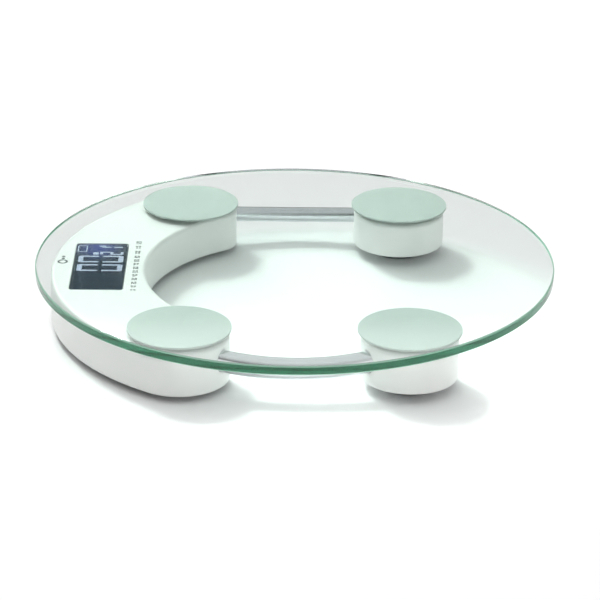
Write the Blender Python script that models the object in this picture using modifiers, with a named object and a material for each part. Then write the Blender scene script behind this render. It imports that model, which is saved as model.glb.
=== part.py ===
# Digital bathroom scale: a round glass platform on a crescent display housing and two foot housings.
# Metres, +Z up. The floor is z = 0 and the middle of the glass is over the origin.
# The display is at -X, so the reader stands at +X. Front is -Y and back is +Y.
import bmesh
import bpy
from math import asin, atan2, cos, hypot, pi, radians, sin, sqrt, tau
from mathutils import Matrix, Vector

# Overall sizes
SCALE_HEIGHT = 0.0395
GLASS_RADIUS = 0.165
GLASS_THICKNESS = 0.006
GLASS_CHAMFER = 0.0008
FOOT_X = 0.0698
FOOT_Y = 0.1032

# Gaps
FILM = 0.0003
SLIDING_FIT = 0.0004

# Frosted pads that join the glass to the housings
PAD_OVERHANG = 0.00175
PAD_THICKNESS = 0.0012
BOSS_RADIUS = 0.020
BOSS_HEIGHT = 0.0024

# Housings
FOOT_HOUSING_RADIUS = 0.030
LOBE_EXTRA = 0.0008
LOBE_TIP_SHIFT = 0.0128
CRESCENT_THICKNESS = 0.0604
WALL = 0.0022
TOP_WALL = 0.0022
TOP_ROUNDING = 0.0025
CRESCENT_BOTTOM = 0.0045
FOOT_HOUSING_BOTTOM = 0.007

# Base covers and their screws
BASE_BOTTOM = 0.0075
BASE_THICKNESS = 0.0022
COLUMN_RADIUS = 0.0026
SEAT_RIM = 0.0008
PILOT_RADIUS = 0.0013
SCREW_RADIUS = 0.001
SCREW_LENGTH = 0.0085
SCREW_HEAD_RADIUS = 0.0027
SCREW_HEAD_HEIGHT = 0.0011
SCREW_CROSS = 0.65
SCREW_CROSS_WAIST = 0.22
SCREW_CROSS_DEPTH = 0.6

# Load cells, their mounts and the feet
MOUNT_CLEARANCE = 0.0014
MOUNT_WALL = 0.003
MOUNT_FLANGE = 0.0055
MOUNT_FLANGE_WIDTH = 0.006
MOUNT_LIP = 0.0005
CELL_WEB = 0.0025
CELL_BORDER = 0.0035
CELL_SLOT = 0.002
CELL_THICKNESS = 0.0025
CELL_CORNER = 0.0015
WIRE_SLOT = 0.005
FOOT_TRAVEL = 0.0005
FOOT_CLEARANCE = 0.0005
CARRIER_WEB = 0.0022
CARRIER_LIP = 0.002
CARRIER_LIP_THICKNESS = 0.0012
CARRIER_WALL = 0.002
CARRIER_POST = 0.006
CARRIER_DOME = 0.004
RUBBER_INSET = 0.0008
RUBBER_THICKNESS = 0.0025
RUBBER_EDGE = 0.0006

# Tubes between the housings
TUBE_RADIUS = 0.005
TUBE_WALL = 0.001
TUBE_OFFSET = 0.0148
TUBE_BOW = 0.0057
TUBE_DIP = 0.0024
TUBE_INSERT = 0.004

# Display
WINDOW_BORDER = 0.0267
WINDOW_WIDTH = 0.0765
WINDOW_THICKNESS = 0.0017
WINDOW_CORNER = 0.002
LCD_MARGIN = 0.0014
LCD_THICKNESS = 0.0024
STRIP_THICKNESS = 0.0024
BOARD_MARGIN = 0.0025
BOARD_CLEARANCE = 0.0015
BOARD_THICKNESS = 0.0016
POST_RADIUS = 0.0016

# Unit button under the board
BUTTON_Y = -0.020
BUTTON_RADIUS = 0.003
BUTTON_FLANGE = 0.0015
BUTTON_FLANGE_THICKNESS = 0.0008
BUTTON_TRAVEL = 0.0005
BUTTON_PROUD = 0.0005
SWITCH_SIZE = 0.006
SWITCH_HEIGHT = 0.0035
CHIP_RADIUS = 0.006
CHIP_HEIGHT = 0.0015
CHIP_Y = 0.012

# Battery, its holder and its door
BATTERY_RADIUS = 0.010
BATTERY_THICKNESS = 0.0032
BATTERY_EDGE = 0.0004
HOLDER_WALL = 0.006
HOLDER_TO_WALL = 0.0017
HOLDER_TO_BOARD = 0.0045
HOLDER_ROOF = 0.0012
HOLDER_HOLE = 0.004
DOOR_RADIUS = BATTERY_RADIUS + 0.0032
DOOR_LUG = 0.0014
DOOR_LUG_WIDTH = 0.005
DOOR_LEDGE = 0.0008
DOOR_TURN = 35.0
COIN_SLOT_LENGTH = 0.016
COIN_SLOT_WIDTH = 0.002
COIN_SLOT_DEPTH = 0.0009
CONTACT_THICKNESS = 0.0004
CONTACT_WIDTH = 0.004
CONTACT_LENGTH = 0.014

# Wires, with the places along the board's end where they are soldered
WIRE_RADIUS = 0.0008
RIGHT_WIRE_END = 0.0056
LEFT_WIRE_END = 0.0116
LEAD_END = -0.0044
SOLDER_INSET = 0.0015
WIRE_START = 0.002
WIRE_RING = 0.0029
LEFT_WIRE_TURN = radians(20)

# Facets of round pieces
GLASS_STEPS = 96
HOUSING_STEPS = 40
ROUND_STEPS = 24
SMALL_STEPS = 10
SEAT_STEPS = 14
ROUNDING_STEPS = 2
TUBE_STEPS = 12
TUBE_RESOLUTION = 4
WIRE_RESOLUTION = 2
ROUTE_STEPS = 2
OUTER_STEPS = 27
LOBE_STEPS = 12
FILLET_STEPS = 5
HOLLOW_STEPS = 22

# Heights that follow from the sizes above, from the glass down
GLASS_BOTTOM = SCALE_HEIGHT - GLASS_THICKNESS
PAD_TOP = GLASS_BOTTOM - FILM
PAD_BOTTOM = PAD_TOP - PAD_THICKNESS
BOSS_TOP = PAD_BOTTOM - FILM
HOUSING_TOP = BOSS_TOP - BOSS_HEIGHT
CEILING = HOUSING_TOP - TOP_WALL
MOUNT_TOP = CEILING - FILM
LCD_TOP = CEILING - FILM
LCD_BOTTOM = LCD_TOP - LCD_THICKNESS
BACKLIGHT_TOP = LCD_BOTTOM - FILM

# Heights from the floor up
CARRIER_BOTTOM = RUBBER_THICKNESS + FILM
BASE_TOP = BASE_BOTTOM + BASE_THICKNESS
COLUMN_BOTTOM = BASE_TOP + FILM
LIP_BOTTOM = BASE_TOP + FOOT_TRAVEL + FILM
LIP_TOP = LIP_BOTTOM + CARRIER_LIP_THICKNESS
MOUNT_BOTTOM = LIP_TOP + FOOT_CLEARANCE
FLANGE_TOP = MOUNT_BOTTOM + MOUNT_FLANGE
CELL_BOTTOM = MOUNT_BOTTOM + MOUNT_LIP
CELL_TOP = CELL_BOTTOM + CELL_THICKNESS
POCKET_TOP = CELL_TOP + FILM
DOME_TOP = CELL_BOTTOM - FILM
BUTTON_TOP = BASE_TOP + FILM + BUTTON_FLANGE_THICKNESS
SWITCH_BOTTOM = BUTTON_TOP + BUTTON_TRAVEL + FILM
SWITCH_TOP = SWITCH_BOTTOM + SWITCH_HEIGHT
BOARD_BOTTOM = SWITCH_TOP + FILM
BOARD_TOP = BOARD_BOTTOM + BOARD_THICKNESS
BACKLIGHT_BOTTOM = BOARD_TOP + FILM
TUBE_Z = (HOUSING_TOP + BASE_TOP) / 2
DOOR_TOP = BASE_TOP - FILM
BATTERY_BOTTOM = BASE_TOP + SLIDING_FIT
BATTERY_TOP = BATTERY_BOTTOM + BATTERY_THICKNESS
CONTACT_BOTTOM = BATTERY_TOP + FILM
ROOF_BOTTOM = CONTACT_BOTTOM + CONTACT_THICKNESS + FILM
ROOF_TOP = ROOF_BOTTOM + HOLDER_ROOF

# Screw columns stand clear of the walls by the screw's head
HEAD_SEAT = SCREW_HEAD_RADIUS + SLIDING_FIT
COLUMN_INSET = WALL + SLIDING_FIT + SEAT_RIM + HEAD_SEAT
MOUNT_RADIUS = FOOT_HOUSING_RADIUS - COLUMN_INSET - COLUMN_RADIUS - MOUNT_CLEARANCE
MOUNT_COLUMN_RADIUS = MOUNT_RADIUS - MOUNT_FLANGE_WIDTH
MOUNT_BORE = MOUNT_COLUMN_RADIUS - MOUNT_WALL
CELL_SIZE = (MOUNT_RADIUS - CELL_WEB) * sqrt(2)
CARRIER_HOLE = FOOT_HOUSING_RADIUS - COLUMN_INSET - HEAD_SEAT - CARRIER_WEB
CARRIER_RADIUS = CARRIER_HOLE - 3 * SLIDING_FIT
RUBBER_RADIUS = CARRIER_RADIUS - RUBBER_INSET
PAD_RADIUS = FOOT_HOUSING_RADIUS + PAD_OVERHANG

# Plan of the crescent: four tangent circles, the same for every inset
FOOT_ANGLE = atan2(FOOT_Y, FOOT_X)
LOBE_RADIUS = FOOT_HOUSING_RADIUS + LOBE_EXTRA
LOBE_INNER_RADIUS = LOBE_RADIUS - LOBE_TIP_SHIFT
CRESCENT_OUTER = hypot(FOOT_X, FOOT_Y) + LOBE_RADIUS
INNER_APEX = CRESCENT_OUTER - CRESCENT_THICKNESS
INNER_FILLET_X = -FOOT_X + LOBE_RADIUS - LOBE_INNER_RADIUS
APEX_TO_FILLET = INNER_APEX + INNER_FILLET_X
HOLLOW_RADIUS = (APEX_TO_FILLET ** 2 + FOOT_Y ** 2 - LOBE_INNER_RADIUS ** 2) / (
    2 * (APEX_TO_FILLET + LOBE_INNER_RADIUS)
)
HOLLOW_X = HOLLOW_RADIUS - INNER_APEX

# The board's corners lie against the outer wall, and the window is over the middle of the board
BOARD_EDGE = 2 * POST_RADIUS + 2 * FILM
WINDOW_DEPTH = CRESCENT_THICKNESS - WINDOW_BORDER
BOARD_DEPTH = WINDOW_DEPTH + 2 * LCD_MARGIN + 2 * BOARD_MARGIN
BOARD_WIDTH = WINDOW_WIDTH + 2 * LCD_MARGIN + 2 * BOARD_EDGE
BOARD_REACH = CRESCENT_OUTER - WALL - BOARD_CLEARANCE
WINDOW_X = BOARD_DEPTH / 2 - sqrt(BOARD_REACH ** 2 - BOARD_WIDTH ** 2 / 4)

# The battery is beyond the board's back end
HOLDER_RADIUS = BATTERY_RADIUS + HOLDER_WALL
BATTERY_REACH = CRESCENT_OUTER - WALL - HOLDER_TO_WALL - HOLDER_RADIUS
BATTERY_Y = BOARD_WIDTH / 2 + HOLDER_TO_BOARD + HOLDER_RADIUS
BATTERY_X = -sqrt(BATTERY_REACH ** 2 - BATTERY_Y ** 2)

FEET = {
    "front_left": (-FOOT_X, -FOOT_Y),
    "back_left": (-FOOT_X, FOOT_Y),
    "front_right": (FOOT_X, -FOOT_Y),
    "back_right": (FOOT_X, FOOT_Y),
}
SIDES = {"front": -1, "back": 1}


def clear_scene():
    for item in list(bpy.data.objects):
        bpy.data.objects.remove(item, do_unlink=True)


def new_collection(name):
    collection = bpy.data.collections.new(name)
    bpy.context.scene.collection.children.link(collection)
    return collection


def new_material(name, colour, roughness, metallic=0.0, transmission=0.0):
    material = bpy.data.materials.new(name)
    material.use_nodes = True
    shader = material.node_tree.nodes["Principled BSDF"]
    shader.inputs["Base Color"].default_value = (*colour, 1.0)
    shader.inputs["Roughness"].default_value = roughness
    shader.inputs["Metallic"].default_value = metallic
    shader.inputs["Transmission Weight"].default_value = transmission
    return material


def new_object(name, mesh, material, at=(0.0, 0.0, 0.0)):
    item = bpy.data.objects.new(name, mesh)
    item.location = at
    parts.objects.link(item)
    if material:
        mesh.materials.append(material)
    return item


def move_to_cutters(item):
    parts.objects.unlink(item)
    cutters.objects.link(item)
    item.hide_render = True
    item.display_type = "WIRE"
    return item


def combine(piece, other, operation):
    modifier = piece.modifiers.new(operation.lower() + "_" + other.name, "BOOLEAN")
    modifier.operation = operation
    modifier.solver = "EXACT"
    modifier.object = other
    return piece


def cut(piece, cutter):
    return combine(piece, cutter, "DIFFERENCE")


def join(piece, addition):
    return combine(piece, addition, "UNION")


def shade_round(mesh, angle=35.0):
    mesh.shade_smooth()
    mesh.set_sharp_from_angle(angle=radians(angle))


def box(name, material, size, centre):
    mesh = bpy.data.meshes.new(name)
    shape = bmesh.new()
    bmesh.ops.create_cube(shape, size=1.0)
    bmesh.ops.scale(shape, vec=size, verts=shape.verts)
    shape.to_mesh(mesh)
    shape.free()
    return new_object(name, mesh, material, centre)


def cylinder(name, material, radius, bottom, top, at, steps=ROUND_STEPS):
    mesh = bpy.data.meshes.new(name)
    shape = bmesh.new()
    bmesh.ops.create_cone(
        shape, cap_ends=True, segments=steps, radius1=radius, radius2=radius, depth=top - bottom
    )
    shape.to_mesh(mesh)
    shape.free()
    shade_round(mesh)
    return new_object(name, mesh, material, (at[0], at[1], (bottom + top) / 2))


# A profile is (radius, height) pairs that run from the top down the outer side.
# A profile that starts off the axis is closed into a ring.
def turned(name, material, profile, at, steps=ROUND_STEPS):
    mesh = bpy.data.meshes.new(name)
    points = [(radius, 0.0, height) for radius, height in profile]
    edges = [(index, index + 1) for index in range(len(points) - 1)]
    if profile[0][0] > 0:
        edges.append((len(points) - 1, 0))
    mesh.from_pydata(points, edges, [])
    item = new_object(name, mesh, material, (at[0], at[1], 0.0))
    screw = item.modifiers.new("turn", "SCREW")
    screw.axis = "Z"
    screw.angle = tau
    screw.steps = steps
    screw.render_steps = steps
    screw.use_merge_vertices = True
    screw.merge_threshold = 0.00001
    screw.use_smooth_shade = False
    return item


def curve_to_mesh(name, curve, material, at=(0.0, 0.0, 0.0)):
    source = bpy.data.objects.new(name + "_curve", curve)
    source.location = at
    parts.objects.link(source)
    graph = bpy.context.evaluated_depsgraph_get()
    graph.update()
    mesh = bpy.data.meshes.new_from_object(source.evaluated_get(graph))
    shape = bmesh.new()
    shape.from_mesh(mesh)
    bmesh.ops.remove_doubles(shape, verts=shape.verts, dist=0.000001)
    shape.to_mesh(mesh)
    shape.free()
    mesh.name = name
    mesh.materials.clear()
    item = new_object(name, mesh, material)
    item.matrix_world = source.matrix_world.copy()
    bpy.data.objects.remove(source, do_unlink=True)
    return item


# The first loop is the outline and the others are holes.
def flat_piece(name, material, loops, bottom, top):
    curve = bpy.data.curves.new(name, "CURVE")
    curve.dimensions = "2D"
    curve.fill_mode = "BOTH"
    curve.extrude = (top - bottom) / 2
    for loop in loops:
        spline = curve.splines.new("POLY")
        spline.points.add(len(loop) - 1)
        for point, (x, y) in zip(spline.points, loop):
            point.co = (x, y, 0.0, 1.0)
        spline.use_cyclic_u = True
    item = curve_to_mesh(name, curve, material, (0.0, 0.0, (bottom + top) / 2))
    shade_round(item.data)
    return item


def round_tube(name, material, points, radius, resolution, filled):
    curve = bpy.data.curves.new(name, "CURVE")
    curve.dimensions = "3D"
    curve.bevel_depth = radius
    curve.bevel_resolution = resolution
    curve.use_fill_caps = filled
    spline = curve.splines.new("POLY")
    spline.points.add(len(points) - 1)
    for point, place in zip(spline.points, points):
        point.co = (*place, 1.0)
    item = curve_to_mesh(name, curve, material)
    shade_round(item.data, 50.0)
    return item


def arc(centre, radius, start, end, steps):
    points = []
    for index in range(steps + 1):
        angle = start + (end - start) * index / steps
        points.append((centre[0] + radius * cos(angle), centre[1] + radius * sin(angle)))
    return points


def circle(centre, radius, steps=ROUND_STEPS):
    return arc(centre, radius, 0.0, tau, steps)[:-1]


def rectangle(centre, size_x, size_y, corner=0.0, steps=4):
    half_x = size_x / 2
    half_y = size_y / 2
    if corner == 0.0:
        signs = [(1, -1), (1, 1), (-1, 1), (-1, -1)]
        return [(centre[0] + sx * half_x, centre[1] + sy * half_y) for sx, sy in signs]
    points = []
    for turn, (sx, sy) in enumerate([(1, -1), (1, 1), (-1, 1), (-1, -1)]):
        middle = (centre[0] + sx * (half_x - corner), centre[1] + sy * (half_y - corner))
        start = -pi / 2 + turn * pi / 2
        points += arc(middle, corner, start, start + pi / 2, steps)
    return points


def smooth_route(points, steps=ROUTE_STEPS):
    route = []
    ends = [2 * points[0] - points[1]] + points + [2 * points[-1] - points[-2]]
    for index in range(1, len(ends) - 2):
        before, start, end, after = ends[index - 1:index + 3]
        for step in range(steps):
            t = step / steps
            route.append(
                0.5
                * (
                    2 * start
                    + (end - before) * t
                    + (2 * before - 5 * start + 4 * end - after) * t ** 2
                    + (3 * start - before - 3 * end + after) * t ** 3
                )
            )
    route.append(points[-1])
    return route


# Outline of the crescent, moved inwards by inset.
def crescent_outline(inset):
    outer_start = pi - FOOT_ANGLE
    fillet_angle = atan2(FOOT_Y, INNER_FILLET_X - HOLLOW_X)
    back = arc((-FOOT_X, FOOT_Y), LOBE_RADIUS - inset, 0.0, outer_start, LOBE_STEPS)
    outer = arc((0.0, 0.0), CRESCENT_OUTER - inset, outer_start, tau - outer_start, OUTER_STEPS)
    front = arc((-FOOT_X, -FOOT_Y), LOBE_RADIUS - inset, -outer_start, 0.0, LOBE_STEPS)
    fillet = LOBE_INNER_RADIUS - inset
    turn = pi - fillet_angle
    front_fillet = arc((INNER_FILLET_X, -FOOT_Y), fillet, 0.0, turn, FILLET_STEPS)
    hollow_radius = HOLLOW_RADIUS + inset
    hollow = arc((HOLLOW_X, 0.0), hollow_radius, -fillet_angle, fillet_angle - tau, HOLLOW_STEPS)
    back_fillet = arc((INNER_FILLET_X, FOOT_Y), fillet, -turn, 0.0, FILLET_STEPS)
    loop = []
    for stretch in (back, outer, front, front_fillet, hollow, back_fillet):
        loop += stretch[:-1]
    return loop


def round_top_edge(item, height, width):
    shape = bmesh.new()
    shape.from_mesh(item.data)
    weights = shape.edges.layers.float.new("bevel_weight_edge")
    for edge in shape.edges:
        at_top = all(abs(vertex.co.z - height) < 0.00001 for vertex in edge.verts)
        if at_top and edge.calc_face_angle(0.0) > 1.0:
            edge[weights] = 1.0
    shape.to_mesh(item.data)
    shape.free()
    bevel = item.modifiers.new("top_rounding", "BEVEL")
    bevel.limit_method = "WEIGHT"
    bevel.width = width
    bevel.segments = ROUNDING_STEPS


def tube_points(side, inset, steps):
    half_chord = FOOT_X - sqrt(FOOT_HOUSING_RADIUS ** 2 - TUBE_OFFSET ** 2)
    sagitta = hypot(TUBE_BOW, TUBE_DIP)
    radius = (half_chord ** 2 + sagitta ** 2) / (2 * sagitta)
    reach = asin((half_chord + TUBE_INSERT - inset) / radius)
    points = []
    for index in range(steps + 1):
        angle = -reach + 2 * reach * index / steps
        rise = radius * cos(angle) - (radius - sagitta)
        points.append(
            Vector(
                (
                    radius * sin(angle),
                    side * (FOOT_Y + TUBE_OFFSET + rise * TUBE_BOW / sagitta),
                    TUBE_Z - rise * TUBE_DIP / sagitta,
                )
            )
        )
    return points


def build_glass():
    edge = GLASS_RADIUS - GLASS_CHAMFER
    profile = [
        (0.0, SCALE_HEIGHT),
        (edge, SCALE_HEIGHT),
        (GLASS_RADIUS, SCALE_HEIGHT - GLASS_CHAMFER),
        (GLASS_RADIUS, GLASS_BOTTOM + GLASS_CHAMFER),
        (edge, GLASS_BOTTOM),
        (0.0, GLASS_BOTTOM),
    ]
    turned("glass_platform", clear_glass, profile, (0.0, 0.0), GLASS_STEPS)


def build_pads():
    for place, at in FEET.items():
        cylinder("glass_pad_" + place, frosted, PAD_RADIUS, PAD_BOTTOM, PAD_TOP, at, HOUSING_STEPS)


def add_columns(housing, places, name):
    for index, at in enumerate(places, 1):
        label = name + "_column_" + str(index)
        top = CEILING + TOP_WALL / 2
        column = cylinder(label, None, COLUMN_RADIUS, COLUMN_BOTTOM, top, at, SMALL_STEPS)
        join(housing, move_to_cutters(column))
    for index, at in enumerate(places, 1):
        label = name + "_pilot_" + str(index)
        top = COLUMN_BOTTOM + SCREW_LENGTH
        pilot = cylinder(label, None, PILOT_RADIUS, COLUMN_BOTTOM - WALL, top, at, SMALL_STEPS)
        cut(housing, move_to_cutters(pilot))


def build_tube_bores():
    bores = {}
    for place, side in SIDES.items():
        points = tube_points(side, -WALL, TUBE_STEPS)
        bore = round_tube(place + "_tube_bore", None, points, TUBE_RADIUS + FILM, TUBE_RESOLUTION, True)
        bores[place] = move_to_cutters(bore)
    return bores


def build_display_housing(bores):
    housing = flat_piece(
        "display_housing", white_plastic, [crescent_outline(0.0)], CRESCENT_BOTTOM, HOUSING_TOP
    )
    round_top_edge(housing, (HOUSING_TOP - CRESCENT_BOTTOM) / 2, TOP_ROUNDING)
    below = CRESCENT_BOTTOM - WALL
    cavity = flat_piece("display_cavity", None, [crescent_outline(WALL)], below, CEILING)
    cut(housing, move_to_cutters(cavity))
    for place in ("front_left", "back_left"):
        low = CEILING + TOP_WALL / 2
        boss = cylinder("boss_" + place, None, BOSS_RADIUS, low, BOSS_TOP, FEET[place])
        join(housing, move_to_cutters(boss))
    add_columns(housing, DISPLAY_SCREWS, "display")
    for index, at in enumerate(BOARD_POSTS, 1):
        top = CEILING + TOP_WALL / 2
        label = "board_post_" + str(index)
        post = cylinder(label, None, POST_RADIUS, BOARD_TOP + FILM, top, at, SMALL_STEPS)
        join(housing, move_to_cutters(post))
    opening = rectangle(
        (WINDOW_X, 0.0),
        WINDOW_DEPTH + 2 * FILM,
        WINDOW_WIDTH + 2 * FILM,
        WINDOW_CORNER + FILM,
    )
    hole = flat_piece("window_opening", None, [opening], CEILING - WALL, HOUSING_TOP + WALL)
    cut(housing, move_to_cutters(hole))
    for bore in bores.values():
        cut(housing, bore)
    return housing


def rounded_corner(radius, top, rounding, steps=ROUNDING_STEPS):
    points = []
    for index in range(steps + 1):
        angle = pi / 2 * (1 - index / steps)
        points.append(
            (radius - rounding + rounding * cos(angle), top - rounding + rounding * sin(angle))
        )
    return points


def build_foot_housings(bores):
    inner = FOOT_HOUSING_RADIUS - WALL
    for place, side in SIDES.items():
        profile = [(0.0, BOSS_TOP), (BOSS_RADIUS, BOSS_TOP), (BOSS_RADIUS, HOUSING_TOP)]
        profile += rounded_corner(FOOT_HOUSING_RADIUS, HOUSING_TOP, TOP_ROUNDING)
        profile += [
            (FOOT_HOUSING_RADIUS, FOOT_HOUSING_BOTTOM),
            (inner, FOOT_HOUSING_BOTTOM),
            (inner, CEILING),
            (0.0, CEILING),
        ]
        at = (FOOT_X, side * FOOT_Y)
        housing = turned("foot_housing_" + place, white_plastic, profile, at, HOUSING_STEPS)
        add_columns(housing, foot_screw_places(side), place)
        cut(housing, bores[place])


# Round the foot housing the three screws keep clear of the tube's mouth.
def foot_screw_places(side):
    mouth = tube_points(side, 0.0, 1)[-1]
    mouth_angle = atan2(mouth.y - side * FOOT_Y, mouth.x - FOOT_X)
    reach = FOOT_HOUSING_RADIUS - COLUMN_INSET
    places = []
    for turn in (60, 180, 300):
        angle = mouth_angle + radians(turn)
        places.append((FOOT_X + reach * cos(angle), side * FOOT_Y + reach * sin(angle)))
    return places


def build_screw(name, at):
    head_top = BASE_BOTTOM + SCREW_HEAD_HEIGHT
    head_bottom = BASE_BOTTOM
    shank_top = head_top + SCREW_LENGTH
    profile = [
        (0.0, shank_top),
        (SCREW_RADIUS, shank_top - SCREW_RADIUS),
        (SCREW_RADIUS, head_top),
        (SCREW_HEAD_RADIUS, head_top),
        (SCREW_HEAD_RADIUS, head_bottom),
        (0.0, head_bottom),
    ]
    screw = turned(name, zinc, profile, at, SMALL_STEPS)
    cross = []
    for turn in range(8):
        reach = SCREW_HEAD_RADIUS * (SCREW_CROSS if turn % 2 == 0 else SCREW_CROSS_WAIST)
        angle = turn * pi / 4
        cross.append((at[0] + reach * cos(angle), at[1] + reach * sin(angle)))
    depth = SCREW_HEAD_HEIGHT * SCREW_CROSS_DEPTH
    recess = flat_piece(name + "_cross", None, [cross], head_bottom - depth, head_bottom + depth)
    cut(screw, move_to_cutters(recess))


def add_screws(cover, places, name):
    for index, at in enumerate(places, 1):
        label = name + "_screw_" + str(index)
        top = BASE_BOTTOM + SCREW_HEAD_HEIGHT + FILM
        low = BASE_BOTTOM - SCREW_HEAD_HEIGHT
        seat = cylinder(label + "_seat", None, HEAD_SEAT, low, top, at, SEAT_STEPS)
        cut(cover, move_to_cutters(seat))
        build_screw(label, at)


def build_display_base():
    inset = WALL + SLIDING_FIT
    loops = [crescent_outline(inset)]
    for place in ("front_left", "back_left"):
        loops.append(circle(FEET[place], CARRIER_HOLE))
    loops.append(circle((BATTERY_X, BATTERY_Y), DOOR_RADIUS + SLIDING_FIT))
    loops.append(circle((WINDOW_X, BUTTON_Y), BUTTON_RADIUS + SLIDING_FIT, SMALL_STEPS))
    for at in DISPLAY_SCREWS:
        loops.append(circle(at, SCREW_RADIUS + SLIDING_FIT, SMALL_STEPS))
    cover = flat_piece("display_base_cover", grey_plastic, loops, BASE_BOTTOM, BASE_TOP)
    battery = (BATTERY_X, BATTERY_Y)
    track = cylinder(
        "door_track",
        None,
        DOOR_RADIUS + DOOR_LUG + SLIDING_FIT,
        BASE_BOTTOM + DOOR_LEDGE,
        BASE_TOP + BASE_THICKNESS,
        battery,
    )
    cut(cover, move_to_cutters(track))
    entry = box(
        "door_entry",
        None,
        (
            2 * (DOOR_RADIUS + DOOR_LUG + SLIDING_FIT),
            DOOR_LUG_WIDTH + 2 * SLIDING_FIT,
            2 * BASE_THICKNESS,
        ),
        (*battery, BASE_BOTTOM),
    )
    entry.rotation_euler.z = radians(DOOR_TURN)
    cut(cover, move_to_cutters(entry))
    add_screws(cover, DISPLAY_SCREWS, "display_base")


def build_foot_bases():
    for place, side in SIDES.items():
        at = (FOOT_X, side * FOOT_Y)
        screws = foot_screw_places(side)
        loops = [
            circle(at, FOOT_HOUSING_RADIUS - WALL - SLIDING_FIT, HOUSING_STEPS),
            circle(at, CARRIER_HOLE),
        ]
        for screw in screws:
            loops.append(circle(screw, SCREW_RADIUS + SLIDING_FIT, SMALL_STEPS))
        name = "foot_base_cover_" + place
        cover = flat_piece(name, grey_plastic, loops, BASE_BOTTOM, BASE_TOP)
        add_screws(cover, screws, "foot_base_" + place)


def build_tubes():
    for place, side in SIDES.items():
        points = tube_points(side, 0.0, TUBE_STEPS)
        tube = round_tube(place + "_tube", chrome, points, TUBE_RADIUS, TUBE_RESOLUTION, False)
        wall = tube.modifiers.new("wall", "SOLIDIFY")
        wall.thickness = TUBE_WALL
        wall.offset = -1.0
        wall.use_even_offset = True


def build_load_cells():
    for place, at in FEET.items():
        centre = Vector(at)
        turn = Matrix.Rotation(wire_angle(place), 2)
        half = CELL_SIZE / 2 - CELL_BORDER
        tongue = half - CELL_SLOT
        slot = [
            (half, -half),
            (half, half),
            (-half, half),
            (-half, tongue),
            (tongue, tongue),
            (tongue, -tongue),
            (-half, -tongue),
            (-half, -half),
        ]
        loops = []
        for loop in (rectangle((0.0, 0.0), CELL_SIZE, CELL_SIZE, CELL_CORNER, 2), slot):
            loops.append([tuple(centre + turn @ Vector(point)) for point in loop])
        flat_piece("load_cell_" + place, steel, loops, CELL_BOTTOM, CELL_TOP)


# The wire leaves a right-hand cell towards the tube's mouth and a left-hand cell towards the display.
def wire_angle(place):
    x, y = FEET[place]
    side = 1 if y > 0 else -1
    if x > 0:
        mouth = tube_points(side, 0.0, 1)[-1]
        return atan2(mouth.y - y, mouth.x - x)
    return atan2(-side * sin(LEFT_WIRE_TURN), -cos(LEFT_WIRE_TURN))


def build_mounts():
    profile = [
        (MOUNT_BORE, MOUNT_TOP),
        (MOUNT_COLUMN_RADIUS, MOUNT_TOP),
        (MOUNT_COLUMN_RADIUS, FLANGE_TOP),
        (MOUNT_RADIUS, FLANGE_TOP),
        (MOUNT_RADIUS, MOUNT_BOTTOM),
        (MOUNT_BORE, MOUNT_BOTTOM),
    ]
    for place, at in FEET.items():
        mount = turned("load_cell_mount_" + place, grey_plastic, profile, at)
        size = CELL_SIZE + 2 * SLIDING_FIT
        low = MOUNT_BOTTOM - CELL_THICKNESS
        pocket = box(
            "cell_pocket_" + place,
            None,
            (size, size, POCKET_TOP - low),
            (*at, (POCKET_TOP + low) / 2),
        )
        angle = wire_angle(place)
        pocket.rotation_euler.z = angle
        cut(mount, move_to_cutters(pocket))
        top = FLANGE_TOP + 2 * WIRE_RADIUS
        low = CELL_TOP
        middle = (MOUNT_BORE + MOUNT_RADIUS) / 2
        slot = box(
            "wire_slot_" + place,
            None,
            (MOUNT_RADIUS - MOUNT_BORE + 2 * WALL, WIRE_SLOT, top - low),
            (at[0] + middle * cos(angle), at[1] + middle * sin(angle), (top + low) / 2),
        )
        slot.rotation_euler.z = angle
        cut(mount, move_to_cutters(slot))


def build_feet():
    lip = CARRIER_RADIUS + CARRIER_LIP
    rim = CARRIER_RADIUS - CARRIER_WALL
    floor = CARRIER_BOTTOM + CARRIER_WALL
    carrier_profile = [
        (0.0, DOME_TOP),
        (CARRIER_DOME, DOME_TOP),
        (CARRIER_POST, LIP_TOP),
        (CARRIER_POST, floor),
        (rim, floor),
        (rim, LIP_TOP),
        (lip, LIP_TOP),
        (lip, LIP_BOTTOM),
        (CARRIER_RADIUS, LIP_BOTTOM),
        (CARRIER_RADIUS, CARRIER_BOTTOM),
        (0.0, CARRIER_BOTTOM),
    ]
    rubber_profile = [
        (0.0, RUBBER_THICKNESS),
        (RUBBER_RADIUS - RUBBER_EDGE, RUBBER_THICKNESS),
        (RUBBER_RADIUS, RUBBER_THICKNESS - RUBBER_EDGE),
        (RUBBER_RADIUS, RUBBER_EDGE),
        (RUBBER_RADIUS - RUBBER_EDGE, 0.0),
        (0.0, 0.0),
    ]
    for place, at in FEET.items():
        turned("foot_carrier_" + place, white_plastic, carrier_profile, at)
        turned("rubber_foot_" + place, rubber, rubber_profile, at)


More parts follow.
